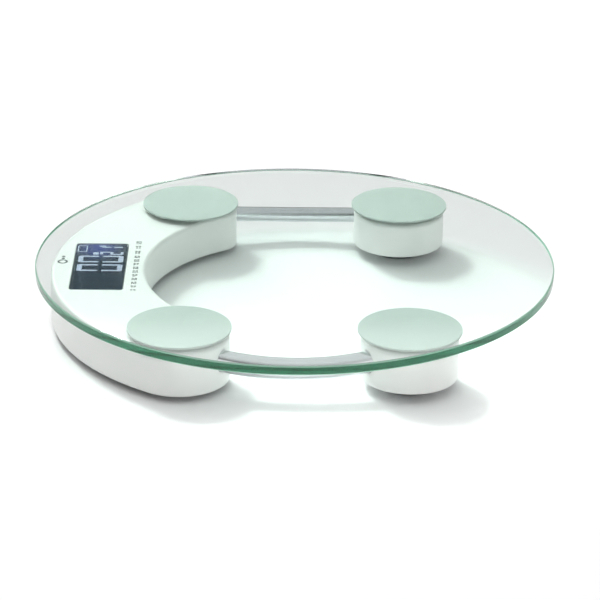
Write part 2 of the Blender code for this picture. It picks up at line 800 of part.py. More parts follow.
def build_display():
    centre = (WINDOW_X, 0.0)
    window = rectangle(centre, WINDOW_DEPTH, WINDOW_WIDTH, WINDOW_CORNER)
    flat_piece("display_window", smoked, [window], HOUSING_TOP - WINDOW_THICKNESS, HOUSING_TOP)
    depth = WINDOW_DEPTH + 2 * LCD_MARGIN
    width = WINDOW_WIDTH + 2 * LCD_MARGIN
    panel = box(
        "lcd_panel",
        lcd_glass,
        (depth, width, LCD_THICKNESS),
        (WINDOW_X, 0.0, (LCD_TOP + LCD_BOTTOM) / 2),
    )
    add_bevel(panel, 0.0002)
    edge = WINDOW_X + depth / 2
    light_depth = depth - STRIP_THICKNESS - FILM
    light_height = BACKLIGHT_TOP - BACKLIGHT_BOTTOM
    light = box(
        "backlight_box",
        white_plastic,
        (light_depth, width, light_height),
        (WINDOW_X - depth / 2 + light_depth / 2, 0.0, (BACKLIGHT_TOP + BACKLIGHT_BOTTOM) / 2),
    )
    add_bevel(light, 0.0004)
    box(
        "contact_strip",
        rubber,
        (STRIP_THICKNESS, width - 4 * LCD_MARGIN, light_height),
        (edge - STRIP_THICKNESS / 2, 0.0, (BACKLIGHT_TOP + BACKLIGHT_BOTTOM) / 2),
    )
    outline = rectangle(centre, BOARD_DEPTH, BOARD_WIDTH, BOARD_THICKNESS, 2)
    flat_piece("circuit_board", board_green, [outline], BOARD_BOTTOM, BOARD_TOP)
    chip_top = BOARD_BOTTOM - FILM
    profile = [
        (0.0, chip_top),
        (CHIP_RADIUS, chip_top),
        (CHIP_RADIUS, chip_top - CHIP_HEIGHT / 3),
        (CHIP_RADIUS - CHIP_HEIGHT, chip_top - CHIP_HEIGHT * 2 / 3),
        (0.0, chip_top - CHIP_HEIGHT),
    ]
    turned("chip_cover", black_resin, profile, (WINDOW_X, CHIP_Y), SMALL_STEPS)
    switch = box(
        "tact_switch",
        steel,
        (SWITCH_SIZE, SWITCH_SIZE, SWITCH_HEIGHT),
        (WINDOW_X, BUTTON_Y, (SWITCH_TOP + SWITCH_BOTTOM) / 2),
    )
    add_bevel(switch, 0.0003)
    low = BASE_BOTTOM - BUTTON_PROUD
    flange = BUTTON_RADIUS + BUTTON_FLANGE
    profile = [
        (0.0, BUTTON_TOP),
        (flange, BUTTON_TOP),
        (flange, BASE_TOP + FILM),
        (BUTTON_RADIUS, BASE_TOP + FILM),
        (BUTTON_RADIUS, low + BUTTON_PROUD),
        (BUTTON_RADIUS - BUTTON_PROUD, low),
        (0.0, low),
    ]
    turned("unit_button", grey_plastic, profile, (WINDOW_X, BUTTON_Y), SMALL_STEPS)


def add_bevel(item, width, segments=1):
    bevel = item.modifiers.new("edges", "BEVEL")
    bevel.width = width
    bevel.segments = segments
    bevel.limit_method = "ANGLE"


def build_battery():
    at = (BATTERY_X, BATTERY_Y)
    profile = [
        (0.0, BATTERY_TOP),
        (BATTERY_RADIUS - 3 * BATTERY_EDGE, BATTERY_TOP),
        (BATTERY_RADIUS - 3 * BATTERY_EDGE, BATTERY_TOP - BATTERY_EDGE),
        (BATTERY_RADIUS, BATTERY_TOP - BATTERY_EDGE),
        (BATTERY_RADIUS, BATTERY_BOTTOM + BATTERY_EDGE),
        (BATTERY_RADIUS - BATTERY_EDGE, BATTERY_BOTTOM),
        (0.0, BATTERY_BOTTOM),
    ]
    turned("coin_cell", steel, profile, at)
    bore = BATTERY_RADIUS + SLIDING_FIT
    profile = [
        (HOLDER_HOLE, ROOF_TOP),
        (HOLDER_RADIUS, ROOF_TOP),
        (HOLDER_RADIUS, BASE_TOP + FILM),
        (bore, BASE_TOP + FILM),
        (bore, ROOF_BOTTOM),
        (HOLDER_HOLE, ROOF_BOTTOM),
    ]
    holder = turned("battery_holder", grey_plastic, profile, at)
    tab_depth = 4 * CONTACT_THICKNESS
    low = BASE_TOP
    pocket = box(
        "contact_pocket",
        None,
        (2 * tab_depth, CONTACT_WIDTH + 2 * SLIDING_FIT, ROOF_BOTTOM - low),
        (BATTERY_X + bore + tab_depth / 2, BATTERY_Y, (ROOF_BOTTOM + low) / 2),
    )
    cut(holder, move_to_cutters(pocket))
    box(
        "battery_contact_side",
        steel,
        (CONTACT_THICKNESS, CONTACT_WIDTH, BATTERY_THICKNESS - 2 * BATTERY_EDGE),
        (BATTERY_X + bore + CONTACT_THICKNESS, BATTERY_Y, (BATTERY_TOP + BATTERY_BOTTOM) / 2),
    )
    box(
        "battery_contact_top",
        steel,
        (CONTACT_LENGTH, CONTACT_WIDTH, CONTACT_THICKNESS),
        (BATTERY_X, BATTERY_Y, CONTACT_BOTTOM + CONTACT_THICKNESS / 2),
    )
    build_battery_door(at)


def build_battery_door(at):
    top = DOOR_TOP
    profile = [
        (0.0, top),
        (DOOR_RADIUS, top),
        (DOOR_RADIUS, BASE_BOTTOM + FILM),
        (DOOR_RADIUS - FILM, BASE_BOTTOM),
        (0.0, BASE_BOTTOM),
    ]
    door = turned("battery_door", grey_plastic, profile, at)
    lug_bottom = BASE_BOTTOM + DOOR_LEDGE + FILM
    lugs = box(
        "door_lugs",
        None,
        (2 * (DOOR_RADIUS + DOOR_LUG), DOOR_LUG_WIDTH, top - lug_bottom - FILM / 2),
        (*at, (top + lug_bottom) / 2),
    )
    join(door, move_to_cutters(lugs))
    slot = box(
        "coin_slot",
        None,
        (COIN_SLOT_LENGTH, COIN_SLOT_WIDTH, 2 * COIN_SLOT_DEPTH),
        (*at, BASE_BOTTOM),
    )
    cut(door, move_to_cutters(slot))


# Route that sweeps round the crescent from a start to a place at the board's end.
def sweep_to_board(start, end, steps=3):
    route = []
    for index in range(1, steps + 1):
        share = index / steps
        reach = hypot(start.x, start.y) * (1 - share) + hypot(end.x, end.y) * share
        angle = atan2(start.y, start.x) * (1 - share) + atan2(end.y, end.x) * share
        height = start.z * (1 - share) + end.z * share
        route.append(Vector((reach * cos(angle), reach * sin(angle), height)))
    return route


def lay_wire(name, route):
    route = smooth_route(route)
    round_tube(name, wire_skin, route, WIRE_RADIUS, WIRE_RESOLUTION, True)


def build_right_wire(place, side, end):
    foot = Vector((FOOT_X, side * FOOT_Y, 0.0))
    angle = wire_angle(place + "_right")
    way = Vector((cos(angle), sin(angle), 0.0))
    low = CELL_TOP + FILM + WIRE_RADIUS
    over = FLANGE_TOP + FILM + 2 * WIRE_RADIUS
    route = [
        foot + way * WIRE_START + Vector((0.0, 0.0, low)),
        foot + way * MOUNT_BORE + Vector((0.0, 0.0, low + WIRE_RADIUS / 2)),
        foot + way * (MOUNT_RADIUS - WALL) + Vector((0.0, 0.0, low + 2 * WIRE_RADIUS)),
    ]
    route += list(reversed(tube_points(side, TUBE_INSERT / 2, 8)))
    lobe = Vector((-FOOT_X, side * FOOT_Y, over))
    for turn in (44, 71, 100, 130, 161):
        ring = MOUNT_RADIUS + WIRE_RING
        step = Vector((cos(radians(turn)), side * sin(radians(turn)), 0.0))
        route.append(lobe + step * ring)
    lay_wire("cell_wire_" + place + "_right", route + sweep_to_board(route[-1], end))


def build_left_wire(place, side, end):
    lobe = Vector((-FOOT_X, side * FOOT_Y, CELL_TOP + FILM + WIRE_RADIUS))
    angle = wire_angle(place + "_left")
    way = Vector((cos(angle), sin(angle), 0.0))
    route = [
        lobe + way * WIRE_START,
        lobe + way * MOUNT_BORE,
        lobe + way * (MOUNT_RADIUS + WALL) + Vector((0.0, 0.0, WIRE_RADIUS)),
    ]
    lay_wire("cell_wire_" + place + "_left", route + sweep_to_board(route[-1], end))


def build_wires():
    rest = BOARD_TOP + FILM + WIRE_RADIUS
    board_end = BOARD_WIDTH / 2 - SOLDER_INSET
    for place, side in SIDES.items():
        build_right_wire(place, side, Vector((WINDOW_X + RIGHT_WIRE_END, side * board_end, rest)))
        build_left_wire(place, side, Vector((WINDOW_X + LEFT_WIRE_END, side * board_end, rest)))
    battery = Vector((BATTERY_X, BATTERY_Y, 0.0))
    start = battery + Vector((0.0, 0.0, CONTACT_BOTTOM + CONTACT_THICKNESS + FILM))
    through = battery + Vector((-WIRE_RADIUS / 2, -WIRE_RADIUS / 2, ROOF_TOP))
    clear = battery + Vector((-HOLDER_HOLE, -HOLDER_HOLE, rest))
    end = Vector((WINDOW_X + LEAD_END, board_end, rest))
    lay_wire("battery_lead", [start, through, clear, (clear + end) / 2, end])


# Screws of the crescent: one at the outer wall, one in each lobe, two along the hollow
HOLLOW_REACH = HOLLOW_RADIUS + COLUMN_INSET
HOLLOW_TURN = radians(22)
POST_X = WINDOW_DEPTH / 2
POST_Y = WINDOW_WIDTH / 2 + LCD_MARGIN + FILM + POST_RADIUS
DISPLAY_SCREWS = [(-CRESCENT_OUTER + COLUMN_INSET, 0.0)]
BOARD_POSTS = []
for way in (-1, 1):
    DISPLAY_SCREWS.append((-FOOT_X + LOBE_RADIUS - COLUMN_INSET, way * FOOT_Y))
    DISPLAY_SCREWS.append(
        (HOLLOW_X - HOLLOW_REACH * cos(HOLLOW_TURN), way * HOLLOW_REACH * sin(HOLLOW_TURN))
    )
    BOARD_POSTS.append((WINDOW_X - POST_X, way * POST_Y))
    BOARD_POSTS.append((WINDOW_X + POST_X, way * POST_Y))

clear_scene()
parts = new_collection("digital_bathroom_scale")
cutters = new_collection("cutters")

clear_glass = new_material("clear_glass", (0.78, 0.93, 0.85), 0.02, transmission=1.0)
frosted = new_material("frosted_acrylic", (0.55, 0.70, 0.63), 0.6)
white_plastic = new_material("white_plastic", (0.86, 0.86, 0.85), 0.35)
grey_plastic = new_material("grey_plastic", (0.42, 0.43, 0.44), 0.5)
chrome = new_material("chromed_steel", (0.75, 0.76, 0.77), 0.08, 1.0)
steel = new_material("nickel_steel", (0.62, 0.62, 0.60), 0.3, 1.0)
zinc = new_material("zinc_plate", (0.55, 0.56, 0.58), 0.35, 1.0)
rubber = new_material("black_rubber", (0.03, 0.03, 0.03), 0.8)
smoked = new_material("smoked_window", (0.02, 0.03, 0.05), 0.05)
lcd_glass = new_material("lcd_glass", (0.03, 0.05, 0.08), 0.1)
board_green = new_material("board_green", (0.02, 0.16, 0.07), 0.4)
black_resin = new_material("black_resin", (0.02, 0.02, 0.02), 0.4)
wire_skin = new_material("grey_wire", (0.30, 0.31, 0.32), 0.5)

tube_bores = build_tube_bores()
build_glass()
build_pads()
build_display_housing(tube_bores)
build_foot_housings(tube_bores)
build_display_base()
build_foot_bases()
build_tubes()
build_mounts()
build_load_cells()
build_feet()
build_display()
build_battery()
build_wires()
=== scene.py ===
from math import asin, atan2, cos, hypot, pi, radians, sin, sqrt, tau

import bmesh
import bpy
from mathutils import Matrix, Vector


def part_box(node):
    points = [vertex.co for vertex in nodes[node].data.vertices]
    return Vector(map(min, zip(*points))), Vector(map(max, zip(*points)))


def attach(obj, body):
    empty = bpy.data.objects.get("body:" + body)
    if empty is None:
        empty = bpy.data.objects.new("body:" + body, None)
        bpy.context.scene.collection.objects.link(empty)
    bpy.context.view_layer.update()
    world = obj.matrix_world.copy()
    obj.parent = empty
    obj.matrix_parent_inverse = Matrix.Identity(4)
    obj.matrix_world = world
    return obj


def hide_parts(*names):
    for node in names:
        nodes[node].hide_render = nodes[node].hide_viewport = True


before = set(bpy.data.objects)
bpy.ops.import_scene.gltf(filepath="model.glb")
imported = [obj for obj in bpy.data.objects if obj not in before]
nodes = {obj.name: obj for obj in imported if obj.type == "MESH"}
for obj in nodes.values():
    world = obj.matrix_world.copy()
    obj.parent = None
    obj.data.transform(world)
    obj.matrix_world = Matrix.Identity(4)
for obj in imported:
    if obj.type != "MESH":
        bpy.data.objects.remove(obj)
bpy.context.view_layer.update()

# Digital bathroom scale: a round glass platform on a crescent display housing and two foot
# housings. Metres, +Z up. The display is at -X, the front is -Y.

gap = 0.0003  # glue film or play between two pieces
sides = {"front": -1, "back": 1}
glassLow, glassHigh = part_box("glass_platform")
footLow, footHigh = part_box("rubber_foot_back_right")
footX = (footLow.x + footHigh.x) / 2
footY = (footLow.y + footHigh.y) / 2
feet = {
    "front_left": (-footX, -footY),
    "back_left": (-footX, footY),
    "front_right": (footX, -footY),
    "back_right": (footX, footY),
}
print("frame:", len(nodes), "nodes,", len(feet), "feet")


def centreOf(name):
    low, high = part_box(name)
    return ((low.x + high.x) / 2, (low.y + high.y) / 2)


# Adds a node with its settings, and its inputs as values or as links from other nodes' outputs.
def addNode(tree, kind, settings=None, inputs=None):
    node = tree.nodes.new(kind)
    for name, value in (settings or {}).items():
        setattr(node, name, value)
    for name, value in (inputs or {}).items():
        if isinstance(value, bpy.types.NodeSocket):
            tree.links.new(value, node.inputs[name])
        else:
            node.inputs[name].default_value = value
    return node


def linear(code):
    channels = [int(code[place:place + 2], 16) / 255 for place in (1, 3, 5)]
    return tuple(
        value / 12.92 if value <= 0.04045 else ((value + 0.055) / 1.055) ** 2.4
        for value in channels
    ) + (1.0,)


def newMaterial(name):
    material = bpy.data.materials.new(name)
    material.use_nodes = True
    tree = material.node_tree
    tree.nodes.clear()
    return material, tree


def finishMaterial(tree, surface, volume=None):
    output = addNode(tree, "ShaderNodeOutputMaterial", inputs={"Surface": surface})
    if volume:
        tree.links.new(volume, output.inputs["Volume"])


def objectPlace(tree):
    return addNode(tree, "ShaderNodeTexCoord").outputs["Object"]


# Noise with features of one size in metres.
def noise(tree, place, size, detail=2.0):
    inputs = {"Vector": place, "Scale": 1 / size, "Detail": detail}
    return addNode(tree, "ShaderNodeTexNoise", inputs=inputs).outputs[0]


def maths(tree, operation, *values):
    settings = {"operation": operation}
    return addNode(tree, "ShaderNodeMath", settings, dict(enumerate(values))).outputs[0]


# Maps one range of values onto another.
def remap(tree, value, source, target, kind="LINEAR"):
    inputs = {
        "Value": value,
        "From Min": source[0],
        "From Max": source[1],
        "To Min": target[0],
        "To Max": target[1],
    }
    return addNode(tree, "ShaderNodeMapRange", {"interpolation_type": kind}, inputs).outputs[0]


def mixValues(tree, share, first, second):
    inputs = {0: share, 2: first, 3: second}
    return addNode(tree, "ShaderNodeMix", {"data_type": "FLOAT"}, inputs).outputs[0]


def mixColours(tree, share, first, second):
    inputs = {0: share, 6: first, 7: second}
    return addNode(tree, "ShaderNodeMix", {"data_type": "RGBA"}, inputs).outputs[2]


def mixShaders(tree, share, first, second):
    return addNode(tree, "ShaderNodeMixShader", inputs={0: share, 1: first, 2: second}).outputs[0]


def relief(tree, height, depth, invert=False):
    inputs = {"Height": height, "Distance": depth}
    return addNode(tree, "ShaderNodeBump", {"invert": invert}, inputs).outputs[0]


def principled(tree, inputs):
    return addNode(tree, "ShaderNodeBsdfPrincipled", inputs=inputs).outputs[0]


# Distance of a place from the Z axis, with X and Y weighed.
def reachOf(tree, place, weights=(1.0, 1.0, 0.0)):
    flat = addNode(tree, "ShaderNodeVectorMath", {"operation": "MULTIPLY"}, {0: place, 1: weights})
    inputs = {0: flat.outputs[0]}
    reach = addNode(tree, "ShaderNodeVectorMath", {"operation": "LENGTH"}, inputs)
    return reach.outputs["Value"]


# Lets shadow rays straight through a clear material, which would otherwise shade like a solid one.
def passShadows(tree, shader, colour=(1.0, 1.0, 1.0, 1.0)):
    through = addNode(tree, "ShaderNodeBsdfTransparent", inputs={"Color": colour})
    rays = addNode(tree, "ShaderNodeLightPath")
    return mixShaders(tree, rays.outputs["Is Shadow Ray"], shader, through.outputs[0])


def placePiece(name, mesh, material, body="scale", replaces=()):
    piece = bpy.data.objects.new(name, mesh)
    bpy.context.scene.collection.objects.link(piece)
    mesh.materials.clear()
    mesh.materials.append(material)
    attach(piece, body)
    if replaces:
        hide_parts(*replaces)
    return piece


def finishMesh(shape, name, smoothAngle=35):
    bmesh.ops.remove_doubles(shape, verts=shape.verts, dist=1e-7)
    bmesh.ops.recalc_face_normals(shape, faces=shape.faces)
    mesh = bpy.data.meshes.new(name)
    shape.to_mesh(mesh)
    shape.free()
    mesh.shade_smooth()
    mesh.set_sharp_from_angle(angle=radians(smoothAngle))
    return mesh


def linkScratch(name, mesh):
    item = bpy.data.objects.new(name, mesh)
    bpy.context.scene.collection.objects.link(item)
    return item


# Turns an object and its modifiers into a plain mesh, and removes the object.
def bake(item, name, smoothAngle=35):
    graph = bpy.context.evaluated_depsgraph_get()
    graph.update()
    mesh = bpy.data.meshes.new_from_object(item.evaluated_get(graph))
    mesh.name = name
    bpy.data.objects.remove(item, do_unlink=True)
    mesh.shade_smooth()
    mesh.set_sharp_from_angle(angle=radians(smoothAngle))
    return mesh


def arc(centre, radius, start, end, steps):
    points = []
    for index in range(steps + 1):
        angle = start + (end - start) * index / steps
        points.append((centre[0] + radius * cos(angle), centre[1] + radius * sin(angle)))
    return points


# A profile is (radius, height) pairs. It starts and ends on the axis, or closes into a ring.
def turned(profile, at=(0.0, 0.0), steps=96, shape=None):
    shape = shape or bmesh.new()
    rings = []
    for radius, height in profile:
        count = 1 if radius == 0 else steps
        ring = []
        for index in range(count):
            angle = tau * index / steps
            point = (at[0] + radius * cos(angle), at[1] + radius * sin(angle), height)
            ring.append(shape.verts.new(point))
        rings.append(ring)
    pairs = list(zip(rings, rings[1:]))
    if profile[0][0] > 0:
        pairs.append((rings[-1], rings[0]))
    for upper, lower in pairs:
        for index in range(steps):
            after = (index + 1) % steps
            if len(upper) == 1:
                shape.faces.new((upper[0], lower[index], lower[after]))
            elif len(lower) == 1:
                shape.faces.new((upper[index], lower[0], upper[after]))
            else:
                shape.faces.new((upper[index], lower[index], lower[after], upper[after]))
    return shape


# The profile of a plain cylinder.
def cylinder(radius, top, bottom):
    return [(0.0, top), (radius, top), (radius, bottom), (0.0, bottom)]


# Rounds a profile's corners, so that no edge is knife-sharp. A narrow band on each side of a
# corner keeps the faces beyond it evenly shaded.
cornerBand = 1.5  # the band's far side, as a share of the rounding
cornerLimit = 0.3  # the rounding's largest share of a side


def soften(profile, radius, steps=3):
    points = [profile[0]]
    for before, corner, after in zip(profile, profile[1:], profile[2:]):
        corner = Vector(corner)
        back = Vector(before) - corner
        on = Vector(after) - corner
        size = min(radius, back.length * cornerLimit, on.length * cornerLimit)
        start = corner + back.normalized() * size
        end = corner + on.normalized() * size
        points.append(tuple(corner + back.normalized() * size * cornerBand))
        for index in range(steps + 1):
            share = index / steps
            points.append(tuple(start.lerp(corner, share).lerp(corner.lerp(end, share), share)))
        points.append(tuple(corner + on.normalized() * size * cornerBand))
    points.append(profile[-1])
    return points


# Joins outlines that have the same number of points, and closes both ends.
def loft(rings, shape=None):
    shape = shape or bmesh.new()
    loops = [[shape.verts.new(point) for point in ring] for ring in rings]
    for upper, lower in zip(loops, loops[1:]):
        for index in range(len(upper)):
            after = (index + 1) % len(upper)
            shape.faces.new((upper[index], lower[index], lower[after], upper[after]))
    shape.faces.new(loops[0])
    shape.faces.new(loops[-1])
    return shape


def roundedRectangle(centre, sizeX, sizeY, corner, height, steps=8):
    points = []
    for turn, (signX, signY) in enumerate([(1, -1), (1, 1), (-1, 1), (-1, -1)]):
        middle = (
            centre[0] + signX * (sizeX / 2 - corner),
            centre[1] + signY * (sizeY / 2 - corner),
        )
        start = (turn - 1) * pi / 2
        points += arc(middle, corner, start, start + pi / 2, steps)
    return [(x, y, height) for x, y in points]


# Joins some solids to a mesh and cuts others from it.
def carve(shape, name, joins, cuts):
    item = linkScratch(name, finishMesh(shape, name))
    others = []
    for label, other, operation in (("join", joins, "UNION"), ("cut", cuts, "DIFFERENCE")):
        tool = linkScratch(name + label, finishMesh(other, name + label))
        modifier = item.modifiers.new(label, "BOOLEAN")
        modifier.operation = operation
        modifier.solver = "EXACT"
        modifier.use_self = False
        modifier.object = tool
        others.append(tool)
    mesh = bake(item, name)
    for tool in others:
        bpy.data.objects.remove(tool, do_unlink=True)
    return mesh


print("helpers ready")

# Moulded plastic: spark-eroded mould grain breaks up the gloss, and the colour drifts a little
# with the flow.
plasticPattern = {"grainDetail": 3.0, "flowDetail": 1.0, "roughSpread": 0.06}


def mouldedPlastic(name, finish):
    material, tree = newMaterial(name)
    place = objectPlace(tree)
    grain = noise(tree, place, finish["grain"], plasticPattern["grainDetail"])
    flow = noise(tree, place, finish["flow"], plasticPattern["flowDetail"])
    rough, spread = finish["roughness"], plasticPattern["roughSpread"]
    inputs = {
        "Base Color": mixColours(tree, flow, linear(finish["colour"]), linear(finish["drift"])),
        "Roughness": remap(tree, grain, (0.0, 1.0), (rough - spread, rough + spread)),
        "Normal": relief(tree, grain, finish["depth"]),
        "IOR": finish["ior"],
    }
    finishMaterial(tree, principled(tree, inputs))
    return material


# Plated or brushed metal: fine lines along one way, and roughness that varies with them.
metalPattern = {"lineDetail": 4.0, "roughLow": 0.6, "roughHigh": 1.4}


def finishedMetal(name, finish):
    material, tree = newMaterial(name)
    inputs = {"Vector": objectPlace(tree), "Scale": finish["lines"]}
    stretched = addNode(tree, "ShaderNodeMapping", inputs=inputs).outputs[0]
    streaks = noise(tree, stretched, finish["grain"], metalPattern["lineDetail"])
    rough = finish["roughness"]
    target = (rough * metalPattern["roughLow"], rough * metalPattern["roughHigh"])
    inputs = {
        "Base Color": mixColours(tree, streaks, linear(finish["colour"]), linear(finish["drift"])),
        "Metallic": 1.0,
        "Roughness": remap(tree, streaks, (0.0, 1.0), target),
        "Normal": relief(tree, streaks, finish["depth"]),
    }
    finishMaterial(tree, principled(tree, inputs))
    return material


# Soda-lime float glass, tempered, with ground and polished edges: clear through the face, green
# along it where light runs a long way inside. Shadow rays are thinned at the rim.
floatGlassFinish = {
    "ior": 1.52,
    "density": 11.0,  # per metre, from the usual iron content of green float glass
    "tint": (0.0, 0.52, 0.34, 1.0),
    "faceShadow": (0.92, 0.975, 0.95, 1.0),
    "rimShadow": (0.50, 0.60, 0.55, 1.0),
    "rimWidth": 0.0010,
    "chamferWidth": 0.0008,
    "ground": "#b4e0cb",  # the chamfers are ground, not polished, and catch the light
    "groundShare": 0.75,
    "groundRoughness": 0.45,
    "waviness": 0.12,  # roller waves of tempering, metres apart
    "waveDepth": 0.000004,
}


def makeFloatGlass():
    finish = floatGlassFinish
    material, tree = newMaterial("temperedFloatGlass")
    place = objectPlace(tree)
    reach = reachOf(tree, place)
    atRim = maths(tree, "GREATER_THAN", reach, glassHigh.x - finish["rimWidth"])
    shade = mixColours(tree, atRim, finish["faceShadow"], finish["rimShadow"])
    inputs = {
        "Base Color": (1.0, 1.0, 1.0, 1.0),
        "Roughness": 0.0,
        "IOR": finish["ior"],
        "Transmission Weight": 1.0,
        "Normal": relief(tree, noise(tree, place, finish["waviness"], 0.0), finish["waveDepth"]),
    }
    glass = principled(tree, inputs)
    split = addNode(tree, "ShaderNodeSeparateXYZ", inputs={0: place})
    middle, half = (glassHigh.z + glassLow.z) / 2, (glassHigh.z - glassLow.z) / 2
    away = maths(tree, "ABSOLUTE", maths(tree, "SUBTRACT", split.outputs["Z"], middle))
    atChamfer = maths(tree, "GREATER_THAN", away, half - finish["chamferWidth"])
    onRim = maths(tree, "GREATER_THAN", reach, glassHigh.x - finish["chamferWidth"])
    chamfered = maths(tree, "MULTIPLY", atChamfer, onRim)
    share = maths(tree, "MULTIPLY", chamfered, finish["groundShare"])
    inputs = {
        "Base Color": linear(finish["ground"]),
        "Roughness": finish["groundRoughness"],
        "IOR": finish["ior"],
    }
    body = mixShaders(tree, share, glass, principled(tree, inputs))
    inputs = {"Color": finish["tint"], "Density": finish["density"]}
    inside = addNode(tree, "ShaderNodeVolumeAbsorption", inputs=inputs).outputs[0]
    finishMaterial(tree, passShadows(tree, body, shade), inside)
    return material


# Cast acrylic window: clear, polished, hardly tinted.
clearAcrylicFinish = {
    "colour": "#f2f6f8",
    "roughness": 0.02,
    "ior": 1.49,
    "ripple": 0.03,
    "rippleDepth": 0.000003,
}


def makeClearAcrylic():
    finish = clearAcrylicFinish
    material, tree = newMaterial("clearAcrylic")
    ripple = noise(tree, objectPlace(tree), finish["ripple"], 0.0)
    inputs = {
        "Base Color": linear(finish["colour"]),
        "Roughness": finish["roughness"],
        "IOR": finish["ior"],
        "Transmission Weight": 1.0,
        "Normal": relief(tree, ripple, finish["rippleDepth"]),
    }
    finishMaterial(tree, passShadows(tree, principled(tree, inputs)))
    return material


# Negative liquid crystal glass: near-black blue, with the backlight's leak brightest at one corner.
lcdFinish = {
    "colour": "#0d151b",
    "rest": "#1a2f3d",
    "glow": "#3c52b4",
    "glowAt": (-0.127, 0.033),
    "glowReach": 0.021,
    "glowWeights": (1.0, 0.8, 0.0),
    "strength": 0.85,
    "pitch": 0.0003,  # rubbing lines, drawn coarser than real so that they show
    "roughness": (0.01, 0.04),
}


def makeLcdGlass():
    finish = lcdFinish
    material, tree = newMaterial("liquidCrystalGlass")
    place = objectPlace(tree)
    inputs = {"Vector": place, "Location": (-finish["glowAt"][0], -finish["glowAt"][1], 0.0)}
    centred = addNode(tree, "ShaderNodeMapping", inputs=inputs).outputs[0]
    reach = reachOf(tree, centred, finish["glowWeights"])
    glow = remap(tree, reach, (0.0, finish["glowReach"]), (1.0, 0.0), "SMOOTHSTEP")
    inputs = {
        "Base Color": linear(finish["colour"]),
        "Roughness": remap(
            tree, noise(tree, place, finish["pitch"]), (0.0, 1.0), finish["roughness"]
        ),
        "Emission Color": mixColours(tree, glow, linear(finish["rest"]), linear(finish["glow"])),
        "Emission Strength": finish["strength"],
    }
    finishMaterial(tree, principled(tree, inputs))
    return material


# Segments let the backlight through: a pale cold blue, a little uneven.
litSegmentFinish = {
    "unlit": "#202830",
    "dim": "#c6d8f6",
    "bright": "#e8f1ff",
    "cloud": 0.012,
    "roughness": 0.3,
    "strength": 1.15,
}


def makeLitSegment():
    finish = litSegmentFinish
    material, tree = newMaterial("litSegment")
    cloud = noise(tree, objectPlace(tree), finish["cloud"])
    inputs = {
        "Base Color": linear(finish["unlit"]),
        "Roughness": finish["roughness"],
        "Emission Color": mixColours(tree, cloud, linear(finish["dim"]), linear(finish["bright"])),
        "Emission Strength": finish["strength"],
    }
    finishMaterial(tree, principled(tree, inputs))
    return material


# Glass fibre board under green solder mask: copper tracks show as a lighter raised net.
solderMaskFinish = {
    "board": ("#0c4a26", "#0e5229"),
    "track": "#1d7a40",
    "trackWidth": 0.00025,
    "trackPitch": (0.005, 0.0024),
    "trackDepth": 0.00003,
    "roughness": 0.35,
}


def makeSolderMask():
    finish = solderMaskFinish
    material, tree = newMaterial("solderMask")
    inputs = {
        "Vector": objectPlace(tree),
        "Color1": linear(finish["board"][0]),
        "Color2": linear(finish["board"][1]),
        "Mortar": linear(finish["track"]),
        "Scale": 1.0,
        "Mortar Size": finish["trackWidth"],
        "Brick Width": finish["trackPitch"][0],
        "Row Height": finish["trackPitch"][1],
    }
    tracks = addNode(tree, "ShaderNodeTexBrick", inputs=inputs)
    inputs = {
        "Base Color": tracks.outputs["Color"],
        "Roughness": finish["roughness"],
        "Normal": relief(tree, tracks.outputs["Fac"], finish["trackDepth"], True),
    }
    finishMaterial(tree, principled(tree, inputs))
    return material


# Moulded finishes. Grain, flow and depth are sizes in metres.
finishes = {
    # ABS, satin moulded: white with a soft gloss.
    "whiteAbs": {
        "colour": "#f4f4f2", "drift": "#f0f1ef", "roughness": 0.34, "grain": 0.0004,
        "flow": 0.03, "depth": 0.000003, "ior": 1.53,
    },
    # ABS, fine matt moulded: the hidden grey pieces.
    "greyAbs": {
        "colour": "#b2b4b6", "drift": "#a9abad", "roughness": 0.52, "grain": 0.0006,
        "flow": 0.02, "depth": 0.000012, "ior": 1.53,
    },
    # Cast acrylic, sand-blasted: an even milky green-white with a dull sheen.
    "frostedAcrylic": {
        "colour": "#bdc7c2", "drift": "#b8c2bd", "roughness": 0.8, "grain": 0.0005,
        "flow": 0.02, "depth": 0.000006, "ior": 1.49,
    },
    # Nitrile rubber, moulded: nearly black, with talc-like bloom.
    "blackRubber": {
        "colour": "#262626", "drift": "#303030", "roughness": 0.78, "grain": 0.0008,
        "flow": 0.008, "depth": 0.00002, "ior": 1.52,
    },
    # Epoxy blob over the chip: black, self-levelled.
    "blackResin": {
        "colour": "#141414", "drift": "#1b1b1b", "roughness": 0.3, "grain": 0.002,
        "flow": 0.006, "depth": 0.00003, "ior": 1.55,
    },
    # PVC wire skin, extruded.
    "greyVinyl": {
        "colour": "#a6a8aa", "drift": "#9c9ea1", "roughness": 0.45, "grain": 0.0007,
        "flow": 0.01, "depth": 0.00001, "ior": 1.54,
    },
    # Screen-printed ink.
    "greyInk": {
        "colour": "#3c3e40", "drift": "#47494b", "roughness": 0.5, "grain": 0.0003,
        "flow": 0.004, "depth": 0.000004, "ior": 1.5,
    },
}
metals = {
    # Bright chrome over polished steel tube: mirror-like, with faint polishing lines.
    "polishedChrome": {
        "colour": "#e4e6e8", "drift": "#cfd2d6", "roughness": 0.035, "grain": 0.0006,
        "lines": (0.04, 1.0, 1.0), "depth": 0.0000006,
    },
    # Nickel-plated sheet steel, rolled: soft lines one way.
    "nickelPlate": {
        "colour": "#d8d5cc", "drift": "#cbc8bf", "roughness": 0.26, "grain": 0.0005,
        "lines": (0.1, 1.0, 1.0), "depth": 0.000002,
    },
    # Zinc-plated steel: a faint blue cast and a clouded passivation.
    "zincPlate": {
        "colour": "#c9cdd3", "drift": "#b9bfc8", "roughness": 0.33, "grain": 0.0008,
        "lines": (1.0, 1.0, 1.0), "depth": 0.000003,
    },
}
materials = {name: mouldedPlastic(name, finish) for name, finish in finishes.items()}
